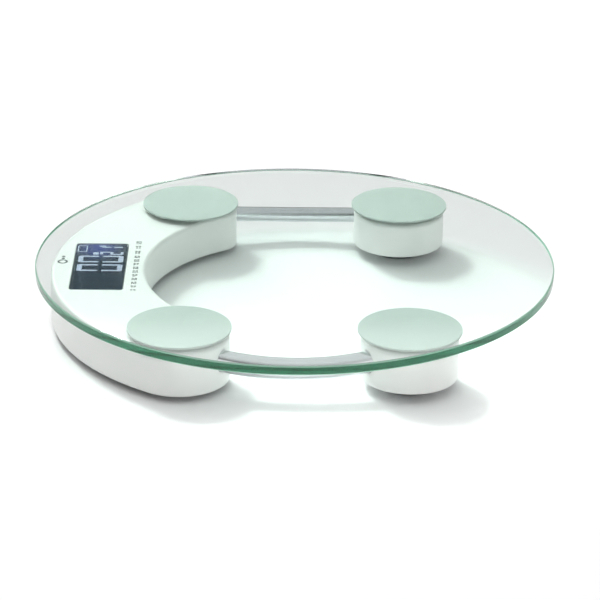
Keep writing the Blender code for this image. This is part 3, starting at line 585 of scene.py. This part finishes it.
materials.update({name: finishedMetal(name, finish) for name, finish in metals.items()})
materials["floatGlass"] = makeFloatGlass()
materials["clearAcrylic"] = makeClearAcrylic()
materials["lcdGlass"] = makeLcdGlass()
materials["litSegment"] = makeLitSegment()
materials["solderMask"] = makeSolderMask()
print("materials:", len(materials))

# Glass platform: a round tempered plate, its edge ground to a small chamfer above and below.
glassPlate = {"facets": 512, "chamfer": 0.0008, "polish": 0.00012, "smoothAngle": 20}


def makeGlassPlate():
    radius, top, bottom = glassHigh.x, glassHigh.z, glassLow.z
    chamfer = glassPlate["chamfer"]
    profile = [
        (0.0, top),
        (radius - chamfer, top),
        (radius, top - chamfer),
        (radius, bottom + chamfer),
        (radius - chamfer, bottom),
        (0.0, bottom),
    ]
    shape = turned(soften(profile, glassPlate["polish"]), steps=glassPlate["facets"])
    placePiece(
        "glassPlatform",
        finishMesh(shape, "glassPlatform", glassPlate["smoothAngle"]),
        materials["floatGlass"],
        replaces=["glass_platform"],
    )


makeGlassPlate()

# Frosted discs: between the glass and the housings, a little wider than what they stand on.
frostedDisc = {"facets": 128, "edge": 0.0002}


def makeFrostedDiscs():
    for place, at in feet.items():
        low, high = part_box("glass_pad_" + place)
        radius = (high.x - low.x) / 2
        profile = soften(cylinder(radius, high.z, low.z), frostedDisc["edge"])
        shape = turned(profile, at, frostedDisc["facets"])
        placePiece(
            "frostedDisc_" + place,
            finishMesh(shape, "frostedDisc_" + place),
            materials["frostedAcrylic"],
            replaces=["glass_pad_" + place],
        )


makeFrostedDiscs()
print("glass plate and discs done")

# Housings: moulded shells with a bossed top, screw columns inside and a mouth for each tube.
shell = {
    "wall": 0.0022,
    "topWall": 0.0022,
    "rounding": 0.0025,
    "roundingSteps": 6,
    "support": 0.0004,  # narrow band beside a rounding, which keeps the flat faces evenly shaded
    "lipRounding": 0.0004,
    "lipShare": 0.3,  # where the lip's rounding bulges, as a share of its size
    "bossRadius": 0.020,
    "bossHeight": 0.0024,
    "bossEdge": 0.0003,
    "bossFacets": 96,
    "columnRadius": 0.0026,
    "columnFacets": 32,
    "pilotRadius": 0.0013,
    "pilotDepth": 0.0085,
    "pilotFacets": 24,
    "facets": 144,
}
crescent = {
    "thickness": 0.0604,
    "tipShift": 0.0128,
    "outerSteps": 120,
    "lobeSteps": 40,
    "filletSteps": 20,
    "hollowSteps": 90,
}
tube = {
    "radius": 0.005,
    "wall": 0.001,
    "offset": 0.0148,
    "bow": 0.0057,
    "dip": 0.0024,
    "insert": 0.004,
    "points": 64,
    "facets": 48,
}
shellLow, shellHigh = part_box("display_housing")
footShellLow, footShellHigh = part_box("foot_housing_back")
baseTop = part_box("display_base_cover")[1].z
bossTop = shellHigh.z
housingTop = bossTop - shell["bossHeight"]
ceiling = housingTop - shell["topWall"]
footShellRadius = (footShellHigh.x - footShellLow.x) / 2
lobeRadius = shellHigh.x + footX
crescentReach = -shellLow.x
tubeHeight = (housingTop + baseTop) / 2


# Arcs of tangent circles, moved inwards by inset: the lobes, the outer arc, the fillets and the
# hollow.
def crescentOutline(inset, height):
    tipRadius = lobeRadius - crescent["tipShift"]
    tipX = -footX + crescent["tipShift"]
    apex = crescentReach - crescent["thickness"]
    run = apex + tipX
    hollowRadius = (run ** 2 + footY ** 2 - tipRadius ** 2) / (2 * (run + tipRadius))
    hollowX = hollowRadius - apex
    outerStart = pi - atan2(footY, footX)
    tipAngle = atan2(footY, tipX - hollowX)
    turn = pi - tipAngle
    lobe, tip = lobeRadius - inset, tipRadius - inset
    outer, hollow = crescentReach - inset, hollowRadius + inset
    lobeSteps, filletSteps = crescent["lobeSteps"], crescent["filletSteps"]
    stretches = [
        arc((-footX, footY), lobe, 0.0, outerStart, lobeSteps),
        arc((0.0, 0.0), outer, outerStart, tau - outerStart, crescent["outerSteps"]),
        arc((-footX, -footY), lobe, -outerStart, 0.0, lobeSteps),
        arc((tipX, -footY), tip, 0.0, turn, filletSteps),
        arc((hollowX, 0.0), hollow, -tipAngle, tipAngle - tau, crescent["hollowSteps"]),
        arc((tipX, footY), tip, -turn, 0.0, filletSteps),
    ]
    return [(x, y, height) for stretch in stretches for x, y in stretch[:-1]]


# Insets and heights of a shell's skin, from its top down the outside and up the inside.
def shellSkin(bottom):
    rounding, support, lip = shell["rounding"], shell["support"], shell["lipRounding"]
    bulge = lip * shell["lipShare"]
    skin = [(rounding + support, housingTop)]
    for index in range(shell["roundingSteps"] + 1):
        angle = pi / 2 * (1 - index / shell["roundingSteps"])
        skin.append((rounding * (1 - cos(angle)), housingTop - rounding * (1 - sin(angle))))
    skin += [
        (0.0, housingTop - rounding - support),
        (0.0, bottom + lip + support),
        (0.0, bottom + lip),
        (bulge, bottom + bulge),
        (lip, bottom),
        (shell["wall"] - lip, bottom),
        (shell["wall"], bottom + lip),
        (shell["wall"], ceiling),
    ]
    return skin


# The tube bows outwards and down on one circle. A negative inset runs on past its ends.
def tubeRoute(side, inset):
    halfChord = footX - sqrt(footShellRadius ** 2 - tube["offset"] ** 2)
    sagitta = hypot(tube["bow"], tube["dip"])
    radius = (halfChord ** 2 + sagitta ** 2) / (2 * sagitta)
    reach = asin((halfChord + tube["insert"] - inset) / radius)
    points = []
    for index in range(tube["points"] + 1):
        angle = -reach + 2 * reach * index / tube["points"]
        rise = radius * cos(angle) - (radius - sagitta)
        out = side * (footY + tube["offset"] + rise * tube["bow"] / sagitta)
        points.append((radius * sin(angle), out, tubeHeight - rise * tube["dip"] / sagitta))
    return points


# Starts a Geometry Nodes tree, and gives its input node and the identifiers of its inputs.
def newGeometryTree(name, start, kinds):
    tree = bpy.data.node_groups.new(name, "GeometryNodeTree")
    face = tree.interface
    face.new_socket(start, in_out="INPUT", socket_type="NodeSocketGeometry")
    sockets = {
        label: face.new_socket(label, in_out="INPUT", socket_type="NodeSocket" + kind)
        for label, kind in kinds.items()
    }
    face.new_socket("Geometry", in_out="OUTPUT", socket_type="NodeSocketGeometry")
    identifiers = {label: socket.identifier for label, socket in sockets.items()}
    return tree, addNode(tree, "NodeGroupInput"), identifiers


def closeGeometryTree(tree, source, geometry):
    plain = addNode(tree, "GeometryNodeRealizeInstances", inputs={0: geometry})
    inputs = {"Geometry": plain.outputs[0], "Material": source.outputs["Material"]}
    painted = addNode(tree, "GeometryNodeSetMaterial", inputs=inputs)
    addNode(tree, "NodeGroupOutput", inputs={0: painted.outputs[0]})


# Sweeps a round section along a route of points.
def makeSweepTree():
    kinds = {"Radius": "Float", "Facets": "Int", "Filled": "Bool", "Material": "Material"}
    tree, source, identifiers = newGeometryTree("sweepRound", "Route", kinds)
    route = addNode(tree, "GeometryNodeMeshToCurve", inputs={"Mesh": source.outputs["Route"]})
    inputs = {"Resolution": source.outputs["Facets"], "Radius": source.outputs["Radius"]}
    section = addNode(tree, "GeometryNodeCurvePrimitiveCircle", inputs=inputs)
    inputs = {
        "Curve": route.outputs[0],
        "Profile Curve": section.outputs[0],
        "Fill Caps": source.outputs["Filled"],
    }
    swept = addNode(tree, "GeometryNodeCurveToMesh", inputs=inputs)
    closeGeometryTree(tree, source, swept.outputs[0])
    return tree, identifiers


sweepTree, sweepInputs = makeSweepTree()


def sweep(name, route, radius, filled, material):
    line = bpy.data.meshes.new(name + "Route")
    line.from_pydata(route, [(index, index + 1) for index in range(len(route) - 1)], [])
    item = linkScratch(name + "Sweep", line)
    modifier = item.modifiers.new("sweep", "NODES")
    modifier.node_group = sweepTree
    modifier[sweepInputs["Radius"]] = radius
    modifier[sweepInputs["Facets"]] = tube["facets"]
    modifier[sweepInputs["Filled"]] = filled
    modifier[sweepInputs["Material"]] = material
    return item


def addBores(shape):
    for side in sides.values():
        item = sweep("bore", tubeRoute(side, -shell["wall"]), tube["radius"] + gap, True, None)
        shape.from_mesh(bake(item, "bore"))


def addBoss(at, joins):
    profile = cylinder(shell["bossRadius"], bossTop, ceiling + shell["topWall"] / 2)
    turned(soften(profile, shell["bossEdge"]), at, shell["bossFacets"], joins)


# One column with a pilot hole over each screw.
def addColumns(columns, pilots, names):
    bottom = baseTop + gap
    column = cylinder(shell["columnRadius"], ceiling + shell["topWall"] / 2, bottom)
    pilot = cylinder(shell["pilotRadius"], bottom + shell["pilotDepth"], bottom - shell["wall"])
    for name in names:
        turned(column, centreOf(name), shell["columnFacets"], columns)
        turned(pilot, centreOf(name), shell["pilotFacets"], pilots)


windowLow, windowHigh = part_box("display_window")
windowX = centreOf("display_window")[0]
windowSize = (windowHigh.x - windowLow.x, windowHigh.y - windowLow.y)
windowPane = {"corner": 0.002, "edge": 0.0003, "cornerSteps": 10}
displayScrews = [name for name in nodes if name.startswith("display_base_screw")]


def windowOutline(inset, height):
    sizes = (windowSize[0] - 2 * inset, windowSize[1] - 2 * inset, windowPane["corner"] - inset)
    return roundedRectangle((windowX, 0.0), *sizes, height, windowPane["cornerSteps"])


def makeDisplayShell():
    shape = loft([crescentOutline(inset, height) for inset, height in shellSkin(shellLow.z)])
    joins, cuts = bmesh.new(), bmesh.new()
    for place in ("front_left", "back_left"):
        addBoss(feet[place], joins)
    addColumns(joins, cuts, displayScrews)
    low, high = ceiling - shell["wall"], housingTop + 2 * shell["topWall"]
    loft([windowOutline(-gap, height) for height in (low, high)], cuts)
    addBores(cuts)
    placePiece(
        "displayShell",
        carve(shape, "displayShell", joins, cuts),
        materials["whiteAbs"],
        replaces=["display_housing"],
    )


def makeFootShells():
    skin = shellSkin(footShellLow.z)
    rounding = [(footShellRadius - inset, height) for inset, height in skin]
    profile = [(0.0, housingTop)] + rounding + [(0.0, ceiling)]
    for place, side in sides.items():
        at = (footX, side * footY)
        joins, cuts = bmesh.new(), bmesh.new()
        addBoss(at, joins)
        start = "foot_base_" + place + "_screw"
        addColumns(joins, cuts, [name for name in nodes if name.startswith(start)])
        addBores(cuts)
        shape = turned(profile, at, shell["facets"])
        placePiece(
            "footShell_" + place,
            carve(shape, "footShell_" + place, joins, cuts),
            materials["whiteAbs"],
            replaces=["foot_housing_" + place],
        )


makeDisplayShell()
makeFootShells()
print("housings done")


def makeTubes():
    for place, side in sides.items():
        name = "chromeTube_" + place
        item = sweep(name, tubeRoute(side, 0.0), tube["radius"], False, materials["polishedChrome"])
        wall = item.modifiers.new("wall", "SOLIDIFY")
        wall.thickness = tube["wall"]
        wall.offset = -1.0
        wall.use_even_offset = True
        placePiece(
            name,
            bake(item, name),
            materials["polishedChrome"],
            replaces=[place + "_tube"],
        )


makeTubes()
print("tubes done")


# Repeated pieces: each point of a mesh carries a size and a turn, and gets one copy of a pattern.
def makeSetOutTree():
    kinds = {"Pattern": "Object", "Material": "Material"}
    tree, source, identifiers = newGeometryTree("setOut", "Places", kinds)
    inputs = {"Object": source.outputs["Pattern"]}
    pattern = addNode(tree, "GeometryNodeObjectInfo", inputs=inputs)
    kind = {"data_type": "FLOAT_VECTOR"}
    size = addNode(tree, "GeometryNodeInputNamedAttribute", kind, {"Name": "size"})
    turn = addNode(tree, "GeometryNodeInputNamedAttribute", kind, {"Name": "turn"})
    points = addNode(tree, "GeometryNodeMeshToPoints", inputs={"Mesh": source.outputs["Places"]})
    inputs = {
        "Points": points.outputs[0],
        "Instance": pattern.outputs["Geometry"],
        "Rotation": turn.outputs["Attribute"],
        "Scale": size.outputs["Attribute"],
    }
    copies = addNode(tree, "GeometryNodeInstanceOnPoints", inputs=inputs)
    closeGeometryTree(tree, source, copies.outputs[0])
    return tree, identifiers


setOutTree, setOutInputs = makeSetOutTree()


def setOut(name, pattern, places, material, replaces=()):
    field = bpy.data.meshes.new(name + "Places")
    field.from_pydata([place[0] for place in places], [], [])
    for key, column in (("size", 1), ("turn", 2)):
        values = field.attributes.new(key, "FLOAT_VECTOR", "POINT")
        for item, place in zip(values.data, places):
            item.vector = place[column]
    source = linkScratch(name + "Pattern", pattern)
    item = linkScratch(name + "Field", field)
    modifier = item.modifiers.new("setOut", "NODES")
    modifier.node_group = setOutTree
    modifier[setOutInputs["Pattern"]] = source
    modifier[setOutInputs["Material"]] = material
    mesh = bake(item, name)
    bpy.data.objects.remove(source, do_unlink=True)
    return placePiece(name, mesh, material, replaces=replaces)


# Pan-head screws with a cross recess, seen from below.
screw = {
    "radius": 0.001,
    "length": 0.0085,
    "headRadius": 0.0027,
    "headHeight": 0.0011,
    # The head's profile, as shares of its radius and height.
    "headProfile": [(0.97, 1.0), (1.0, 0.8), (0.93, 0.3), (0.70, 0.0)],
    "threadPitch": 0.0008,
    "threadDepth": 0.00022,
    "threadShare": 0.4,  # how far a crest is below its root, as a share of the pitch
    "tipShare": 0.3,
    "cross": 0.0018,
    "crossWidth": 0.0006,
    "crossDepth": 0.0006,
    "crossTaper": 0.7,
    "pinShare": 0.8,
    "pinFacets": 8,
    "facets": 24,
    "angleStep": 0.7,  # each screw is driven home to its own angle
}


def makeScrewPattern():
    radius, height, pitch = screw["radius"], screw["headHeight"], screw["threadPitch"]
    root, end = radius - screw["threadDepth"], height + screw["length"]
    profile = [(0.0, end), (radius * screw["tipShare"], end)]
    level = end - radius
    while level > height + pitch:
        profile += [(root, level), (radius, level - pitch * screw["threadShare"])]
        level -= pitch
    profile.append((root, height))
    for out, up in screw["headProfile"]:
        profile.append((screw["headRadius"] * out, height * up))
    profile.append((0.0, 0.0))
    shape = turned(profile, steps=screw["facets"])
    joins, cuts = bmesh.new(), bmesh.new()
    # A pin inside the head, because carve joins at least one solid.
    pin = cylinder(radius / 2, height, height * screw["pinShare"])
    turned(pin, (0.0, 0.0), screw["pinFacets"], joins)
    half, wide, deep = screw["cross"], screw["crossWidth"] / 2, screw["crossDepth"]
    plan = [
        (wide, -half), (wide, -wide), (half, -wide), (half, wide), (wide, wide), (wide, half),
        (-wide, half), (-wide, wide), (-half, wide), (-half, -wide), (-wide, -wide), (-wide, -half),
    ]
    ends = ((screw["crossTaper"], deep), (1.0, -deep))
    loft([[(x * reach, y * reach, level) for x, y in plan] for reach, level in ends], cuts)
    return carve(shape, "screwPattern", joins, cuts)


def makeScrews():
    names = sorted(name for name in nodes if "_screw_" in name)
    places = []
    for index, name in enumerate(names):
        at = (*centreOf(name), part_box(name)[0].z)
        places.append((at, (1.0, 1.0, 1.0), (0.0, 0.0, index * screw["angleStep"])))
    pattern = makeScrewPattern()
    setOut("baseScrews", pattern, places, materials["zincPlate"], names)


makeScrews()
print("screws done")

# Rubber feet: a ring-ribbed sole on each carrier.
sole = {
    "ribs": 5,
    "ribDepth": 0.0004,
    "ribWidth": 0.0011,
    "ribSlope": 0.6,  # a groove's floor, as a share of its mouth
    "margin": 0.002,
    "edge": 0.0005,
    "edgeSteps": 2,
    "facets": 72,
    "smoothAngle": 40,
}


def makeRubberFeet():
    for place, at in feet.items():
        low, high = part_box("rubber_foot_" + place)
        radius = (high.x - low.x) / 2
        profile = [(0.0, high.z), (radius, high.z), (radius, low.z)]
        inner = radius - sole["margin"]
        step = inner / sole["ribs"]
        half = sole["ribWidth"] / 2
        narrow, groove = half * sole["ribSlope"], low.z + sole["ribDepth"]
        for index in range(sole["ribs"]):
            middle = inner - index * step - step / 3
            profile += [
                (middle + half, low.z),
                (middle + narrow, groove),
                (middle - narrow, groove),
                (middle - half, low.z),
            ]
        profile.append((0.0, low.z))
        shape = turned(soften(profile, sole["edge"], sole["edgeSteps"]), at, sole["facets"])
        placePiece(
            "rubberSole_" + place,
            finishMesh(shape, "rubberSole_" + place, sole["smoothAngle"]),
            materials["blackRubber"],
            "foot_" + place,
            ["rubber_foot_" + place],
        )


makeRubberFeet()
print("feet done")

# Display: a clear pane let into the housing, over the liquid crystal glass and its segments.
lcd = {
    "clearance": 0.0003,
    "frontDrop": 0.00005,
    "shoulder": 0.0001,
    "corner": 0.0012,
    "cornerSteps": 4,
}


def makeDisplay():
    low, high = windowLow, windowHigh
    edge = windowPane["edge"]
    levels = ((edge, high.z), (0.0, high.z - edge), (0.0, low.z))
    rings = [windowOutline(inset, height) for inset, height in levels]
    placePiece(
        "windowPane",
        finishMesh(loft(rings), "windowPane"),
        materials["clearAcrylic"],
        replaces=["display_window"],
    )
    # The glass steps up into the opening, so that its face is just under the pane.
    panelLow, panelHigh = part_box("lcd_panel")
    base = (panelHigh.x - panelLow.x, panelHigh.y - panelLow.y)
    step = (windowSize[0] - 2 * lcd["clearance"], windowSize[1] - 2 * lcd["clearance"])
    face = low.z - lcd["frontDrop"]
    rings = []
    for sizes, height in (
        (step, face),
        (step, panelHigh.z + lcd["shoulder"]),
        (base, panelHigh.z),
        (base, panelLow.z),
    ):
        at = (windowX, 0.0)
        rings.append(roundedRectangle(at, *sizes, lcd["corner"], height, lcd["cornerSteps"]))
    placePiece(
        "lcdGlass",
        finishMesh(loft(rings), "lcdGlass"),
        materials["lcdGlass"],
        replaces=["lcd_panel"],
    )
    return face


segmentHeight = makeDisplay()

# A bar's pattern is one long and one wide, with pointed ends that meet the next bar at a corner.
bar = {"point": 0.04, "smoothAngle": 20}


def makeBarPattern(name, thickness):
    side = 0.5 - bar["point"]
    plan = [(-0.5, 0.0), (-side, -0.5), (side, -0.5), (0.5, 0.0), (side, 0.5), (-side, 0.5)]
    shape = loft([[(x, y, height) for x, y in plan] for height in (thickness, 0.0)])
    return finishMesh(shape, name, bar["smoothAngle"])


# Which bars are on for each numeral, in the order top, upper left, upper right, middle, lower left,
# lower right and bottom.
numerals = {
    "0": "1110111", "1": "0010010", "2": "1011101", "3": "1011011", "4": "0111010",
    "5": "1101011", "6": "1101111", "7": "1010010", "8": "1111111", "9": "1111011",
}


# The numeral's top is towards -X and its left is towards -Y.
def numeralBars(numeral, topLeft, size, stroke, height, inset):
    tall, wide = size
    x, y = topLeft
    across, along = stroke
    upright = tall / 2 - along / 2 - 2 * inset
    lying = wide - 2 * inset
    middle = y + wide / 2
    bars = [
        ((x + along / 2, middle), lying, along, 1),
        ((x + tall / 4, y + across / 2), upright, across, 0),
        ((x + tall / 4, y + wide - across / 2), upright, across, 0),
        ((x + tall / 2, middle), lying, along, 1),
        ((x + tall * 0.75, y + across / 2), upright, across, 0),
        ((x + tall * 0.75, y + wide - across / 2), upright, across, 0),
        ((x + tall - along / 2, middle), lying, along, 1),
    ]
    places = []
    for on, (at, length, width, turn) in zip(numerals[numeral], bars):
        if on == "1":
            places.append(((*at, height), (length, width, 1.0), (0.0, 0.0, turn * pi / 2)))
    return places


readout = {
    "thickness": 0.00002,
    "lift": 0.000005,
    "inset": 0.0003,
    "large": [("0", (-0.139, -0.0065)), ("0", (-0.139, 0.0078))],
    "largeSize": (0.029, 0.011),
    "largeStroke": (0.0019, 0.0032),
    "small": [("2", (-0.1255, 0.0206)), ("1", (-0.1255, 0.0290))],
    "smallSize": (0.0150, 0.0050),
    "smallStroke": (0.0014, 0.0018),
    # Centre, length along X and width along Y: two plain flags, and a plain frame.
    "bars": [
        ((-0.1282, 0.0227), 0.0037, 0.0036),
        ((-0.1245, 0.0352), 0.0050, 0.0012),
        ((-0.1400, 0.0307), 0.0007, 0.0098),
        ((-0.1345, 0.0307), 0.0007, 0.0098),
        ((-0.13725, 0.0258), 0.0055, 0.0007),
        ((-0.13725, 0.0356), 0.0055, 0.0007),
    ],
}


def makeReadout():
    height = segmentHeight + readout["lift"]
    inset = readout["inset"]
    places = []
    for row in ("large", "small"):
        size, stroke = readout[row + "Size"], readout[row + "Stroke"]
        for numeral, at in readout[row]:
            places += numeralBars(numeral, at, size, stroke, height, inset)
    for (x, y), length, width in readout["bars"]:
        places.append(((x, y, height), (length, width, 1.0), (0.0, 0.0, 0.0)))
    pattern = makeBarPattern("barPattern", readout["thickness"])
    setOut("readout", pattern, places, materials["litSegment"])


makeReadout()

# Printing on the housing: a row of plain numbers, and a ring with two dots by the outer edge.
printing = {
    "thickness": 0.00002,
    "sunk": 0.25,  # share of the thickness that is in the housing
    "fill": 0.78,  # share of the pitch that a numeral takes up
    "inset": 0.00002,
    "numbers": "0 10 20 30 40 50 60 70 80 90 100 110 120",
    "rowStart": (-0.1030, -0.039),
    "rowEnd": 0.043,
    "tall": 0.0034,
    "stroke": (0.0007, 0.0007),
    "ringAt": (-0.1485, 0.0072),
    "ringRadius": 0.0034,
    "ringWidth": 0.0014,
    "dots": [(-0.1485, 0.0125), (-0.1485, 0.0156)],
    "dotRadius": 0.0012,
    "ringFacets": 48,
    "dotFacets": 24,
}


def makePrinting():
    pitch = (printing["rowEnd"] - printing["rowStart"][1]) / len(printing["numbers"])
    low = housingTop - printing["thickness"] * printing["sunk"]
    x, y = printing["rowStart"]
    size = (printing["tall"], pitch * printing["fill"])
    stroke, inset = printing["stroke"], printing["inset"]
    places = []
    for index, numeral in enumerate(printing["numbers"]):
        if numeral != " ":
            at = (x, y + index * pitch)
            places += numeralBars(numeral, at, size, stroke, low, inset)
    pattern = makeBarPattern("inkBar", printing["thickness"])
    setOut("printedNumbers", pattern, places, materials["greyInk"])
    top = housingTop + printing["thickness"]
    outer, inner = printing["ringRadius"], printing["ringRadius"] - printing["ringWidth"]
    profile = [(outer, top), (outer, low), (inner, low), (inner, top)]
    shape = turned(profile, printing["ringAt"], printing["ringFacets"])
    for at in printing["dots"]:
        turned(cylinder(printing["dotRadius"], top, low), at, printing["dotFacets"], shape)
    placePiece("printedRing", finishMesh(shape, "printedRing"), materials["greyInk"])


makePrinting()
print("display and printing done")

# The hidden pieces keep their CAD shapes and get their own finishes.
finishByNode = [
    ("load_cell_mount", "greyAbs"),
    ("load_cell", "nickelPlate"),
    ("foot_carrier", "whiteAbs"),
    ("backlight_box", "whiteAbs"),
    ("contact_strip", "blackRubber"),
    ("circuit_board", "solderMask"),
    ("chip_cover", "blackResin"),
    ("tact_switch", "nickelPlate"),
    ("coin_cell", "nickelPlate"),
    ("battery_contact", "nickelPlate"),
    ("battery_lead", "greyVinyl"),
    ("cell_wire", "greyVinyl"),
    ("", "greyAbs"),
]
for name, item in nodes.items():
    finish = next(finish for start, finish in finishByNode if name.startswith(start))
    item.data.materials.clear()
    item.data.materials.append(materials[finish])
print("finishes on the hidden pieces done")

# Studio: white paper floor, a pale dome that is dark low at the back, and one soft key from
# behind left.
studio = {
    "floorSize": 12.0,
    "floor": "#fdfdfd",
    "floorRoughness": 0.9,
    "floorSheen": 0.1,
    "fibre": 0.002,
    "fibreDepth": 0.00001,
    "leftFill": 0.04,
    "rightFill": 0.85,
    "fillRise": (-0.6, 0.9),  # from left to right
    "backRise": (-0.1, 0.35),  # from front to back
    "dome": 0.86,
    "domeRise": (0.35, 0.85),  # heights, as shares of straight up, between which the dome brightens
    "low": 0.04,
    "lowRise": (0.395, 0.41),
    "seenThrough": 0.95,  # what light that has come through the glass meets
    "mirrorDepths": (1.5, 1.0),  # the middle and the reach of the range taken as a reflection
    "keyFrom": (-0.48, 0.76, 1.0),
    "keyDistance": 3.2,
    "keySize": 0.45,
    "keyPower": 55.0,
}


def makeStage():
    half = studio["floorSize"] / 2
    mesh = bpy.data.meshes.new("paperFloor")
    corners = [(-half, -half, 0), (half, -half, 0), (half, half, 0), (-half, half, 0)]
    mesh.from_pydata(corners, [], [(0, 1, 2, 3)])
    floor = bpy.data.objects.new("paperFloor", mesh)
    bpy.context.scene.collection.objects.link(floor)
    material, tree = newMaterial("mattPaper")
    fibre = noise(tree, objectPlace(tree), studio["fibre"])
    inputs = {
        "Base Color": linear(studio["floor"]),
        "Roughness": studio["floorRoughness"],
        "Specular IOR Level": studio["floorSheen"],
        "Normal": relief(tree, fibre, studio["fibreDepth"]),
    }
    finishMaterial(tree, principled(tree, inputs))
    mesh.materials.append(material)


def makeSky():
    world = bpy.data.worlds.new("studio")
    bpy.context.scene.world = world
    world.use_nodes = True
    tree = world.node_tree
    tree.nodes.clear()
    place = addNode(tree, "ShaderNodeTexCoord").outputs["Generated"]
    way = addNode(tree, "ShaderNodeSeparateXYZ", inputs={0: place}).outputs
    smooth = "SMOOTHSTEP"
    back = remap(tree, way["Y"], studio["backRise"], (0.0, 1.0), smooth)
    behind = remap(tree, way["Z"], studio["lowRise"], (studio["low"], studio["dome"]), smooth)
    fills = (studio["leftFill"], studio["rightFill"])
    fill = remap(tree, way["X"], studio["fillRise"], fills, smooth)
    front = remap(tree, way["Z"], studio["domeRise"], (fill, studio["dome"]), smooth)
    dome = mixValues(tree, back, front, behind)
    # One or two mirror bounces mean a reflection. None means a view through, and more a run
    # inside the plate.
    rays = addNode(tree, "ShaderNodeLightPath").outputs
    depths = studio["mirrorDepths"]
    reflected = maths(tree, "COMPARE", rays["Glossy Depth"], *depths)
    direct = maths(tree, "SUBTRACT", 1.0, reflected)
    through = maths(tree, "MULTIPLY", rays["Is Transmission Ray"], direct)
    light = mixValues(tree, through, dome, studio["seenThrough"])
    seen = mixValues(tree, rays["Is Camera Ray"], light, 1.0)
    inputs = {"Color": (1.0, 1.0, 1.0, 1.0), "Strength": seen}
    background = addNode(tree, "ShaderNodeBackground", inputs=inputs)
    addNode(tree, "ShaderNodeOutputWorld", inputs={"Surface": background.outputs[0]})


def makeKey():
    light = bpy.data.lights.new("key", "AREA")
    light.energy = studio["keyPower"]
    light.size = studio["keySize"]
    item = bpy.data.objects.new("key", light)
    bpy.context.scene.collection.objects.link(item)
    way = Vector(studio["keyFrom"]).normalized()
    item.location = way * studio["keyDistance"]
    item.rotation_euler = way.to_track_quat("Z", "Y").to_euler()


# Camera: a long lens from in front and above, a touch off square and off level.
view = {
    "lens": 171.49,
    "sensor": 36.0,
    "clip": (0.05, 50.0),
    "distance": 1.8324,
    "elevation": 0.4049,
    "yaw": 0.0056,
    "roll": 0.0109,
    "target": (0.0036, 0.0, 0.0111),
}


def makeCamera():
    tilt, yaw, roll = view["elevation"], view["yaw"], view["roll"]
    ahead = Vector((sin(yaw) * cos(tilt), cos(yaw) * cos(tilt), -sin(tilt)))
    level = ahead.cross(Vector((0.0, 0.0, 1.0))).normalized()
    upright = level.cross(ahead)
    right = level * cos(roll) + upright * sin(roll)
    up = right.cross(ahead)
    lens = bpy.data.cameras.new("camera")
    lens.lens = view["lens"]
    lens.sensor_width = view["sensor"]
    lens.clip_start, lens.clip_end = view["clip"]
    camera = bpy.data.objects.new("camera", lens)
    bpy.context.scene.collection.objects.link(camera)
    place = Vector(view["target"]) - ahead * view["distance"]
    turn = Matrix((right, up, -ahead)).transposed().to_4x4()
    camera.matrix_world = Matrix.Translation(place) @ turn
    bpy.context.scene.camera = camera


makeStage()
makeSky()
makeKey()
makeCamera()
# Light runs many times round inside the plate's edge before it leaves.
bpy.context.scene.cycles.max_bounces = 40
bpy.context.scene.cycles.glossy_bounces = 32
bpy.context.scene.cycles.transmission_bounces = 32
bpy.context.scene.cycles.transparent_max_bounces = 16
bpy.context.scene.view_settings.view_transform = "Standard"
print("studio done")
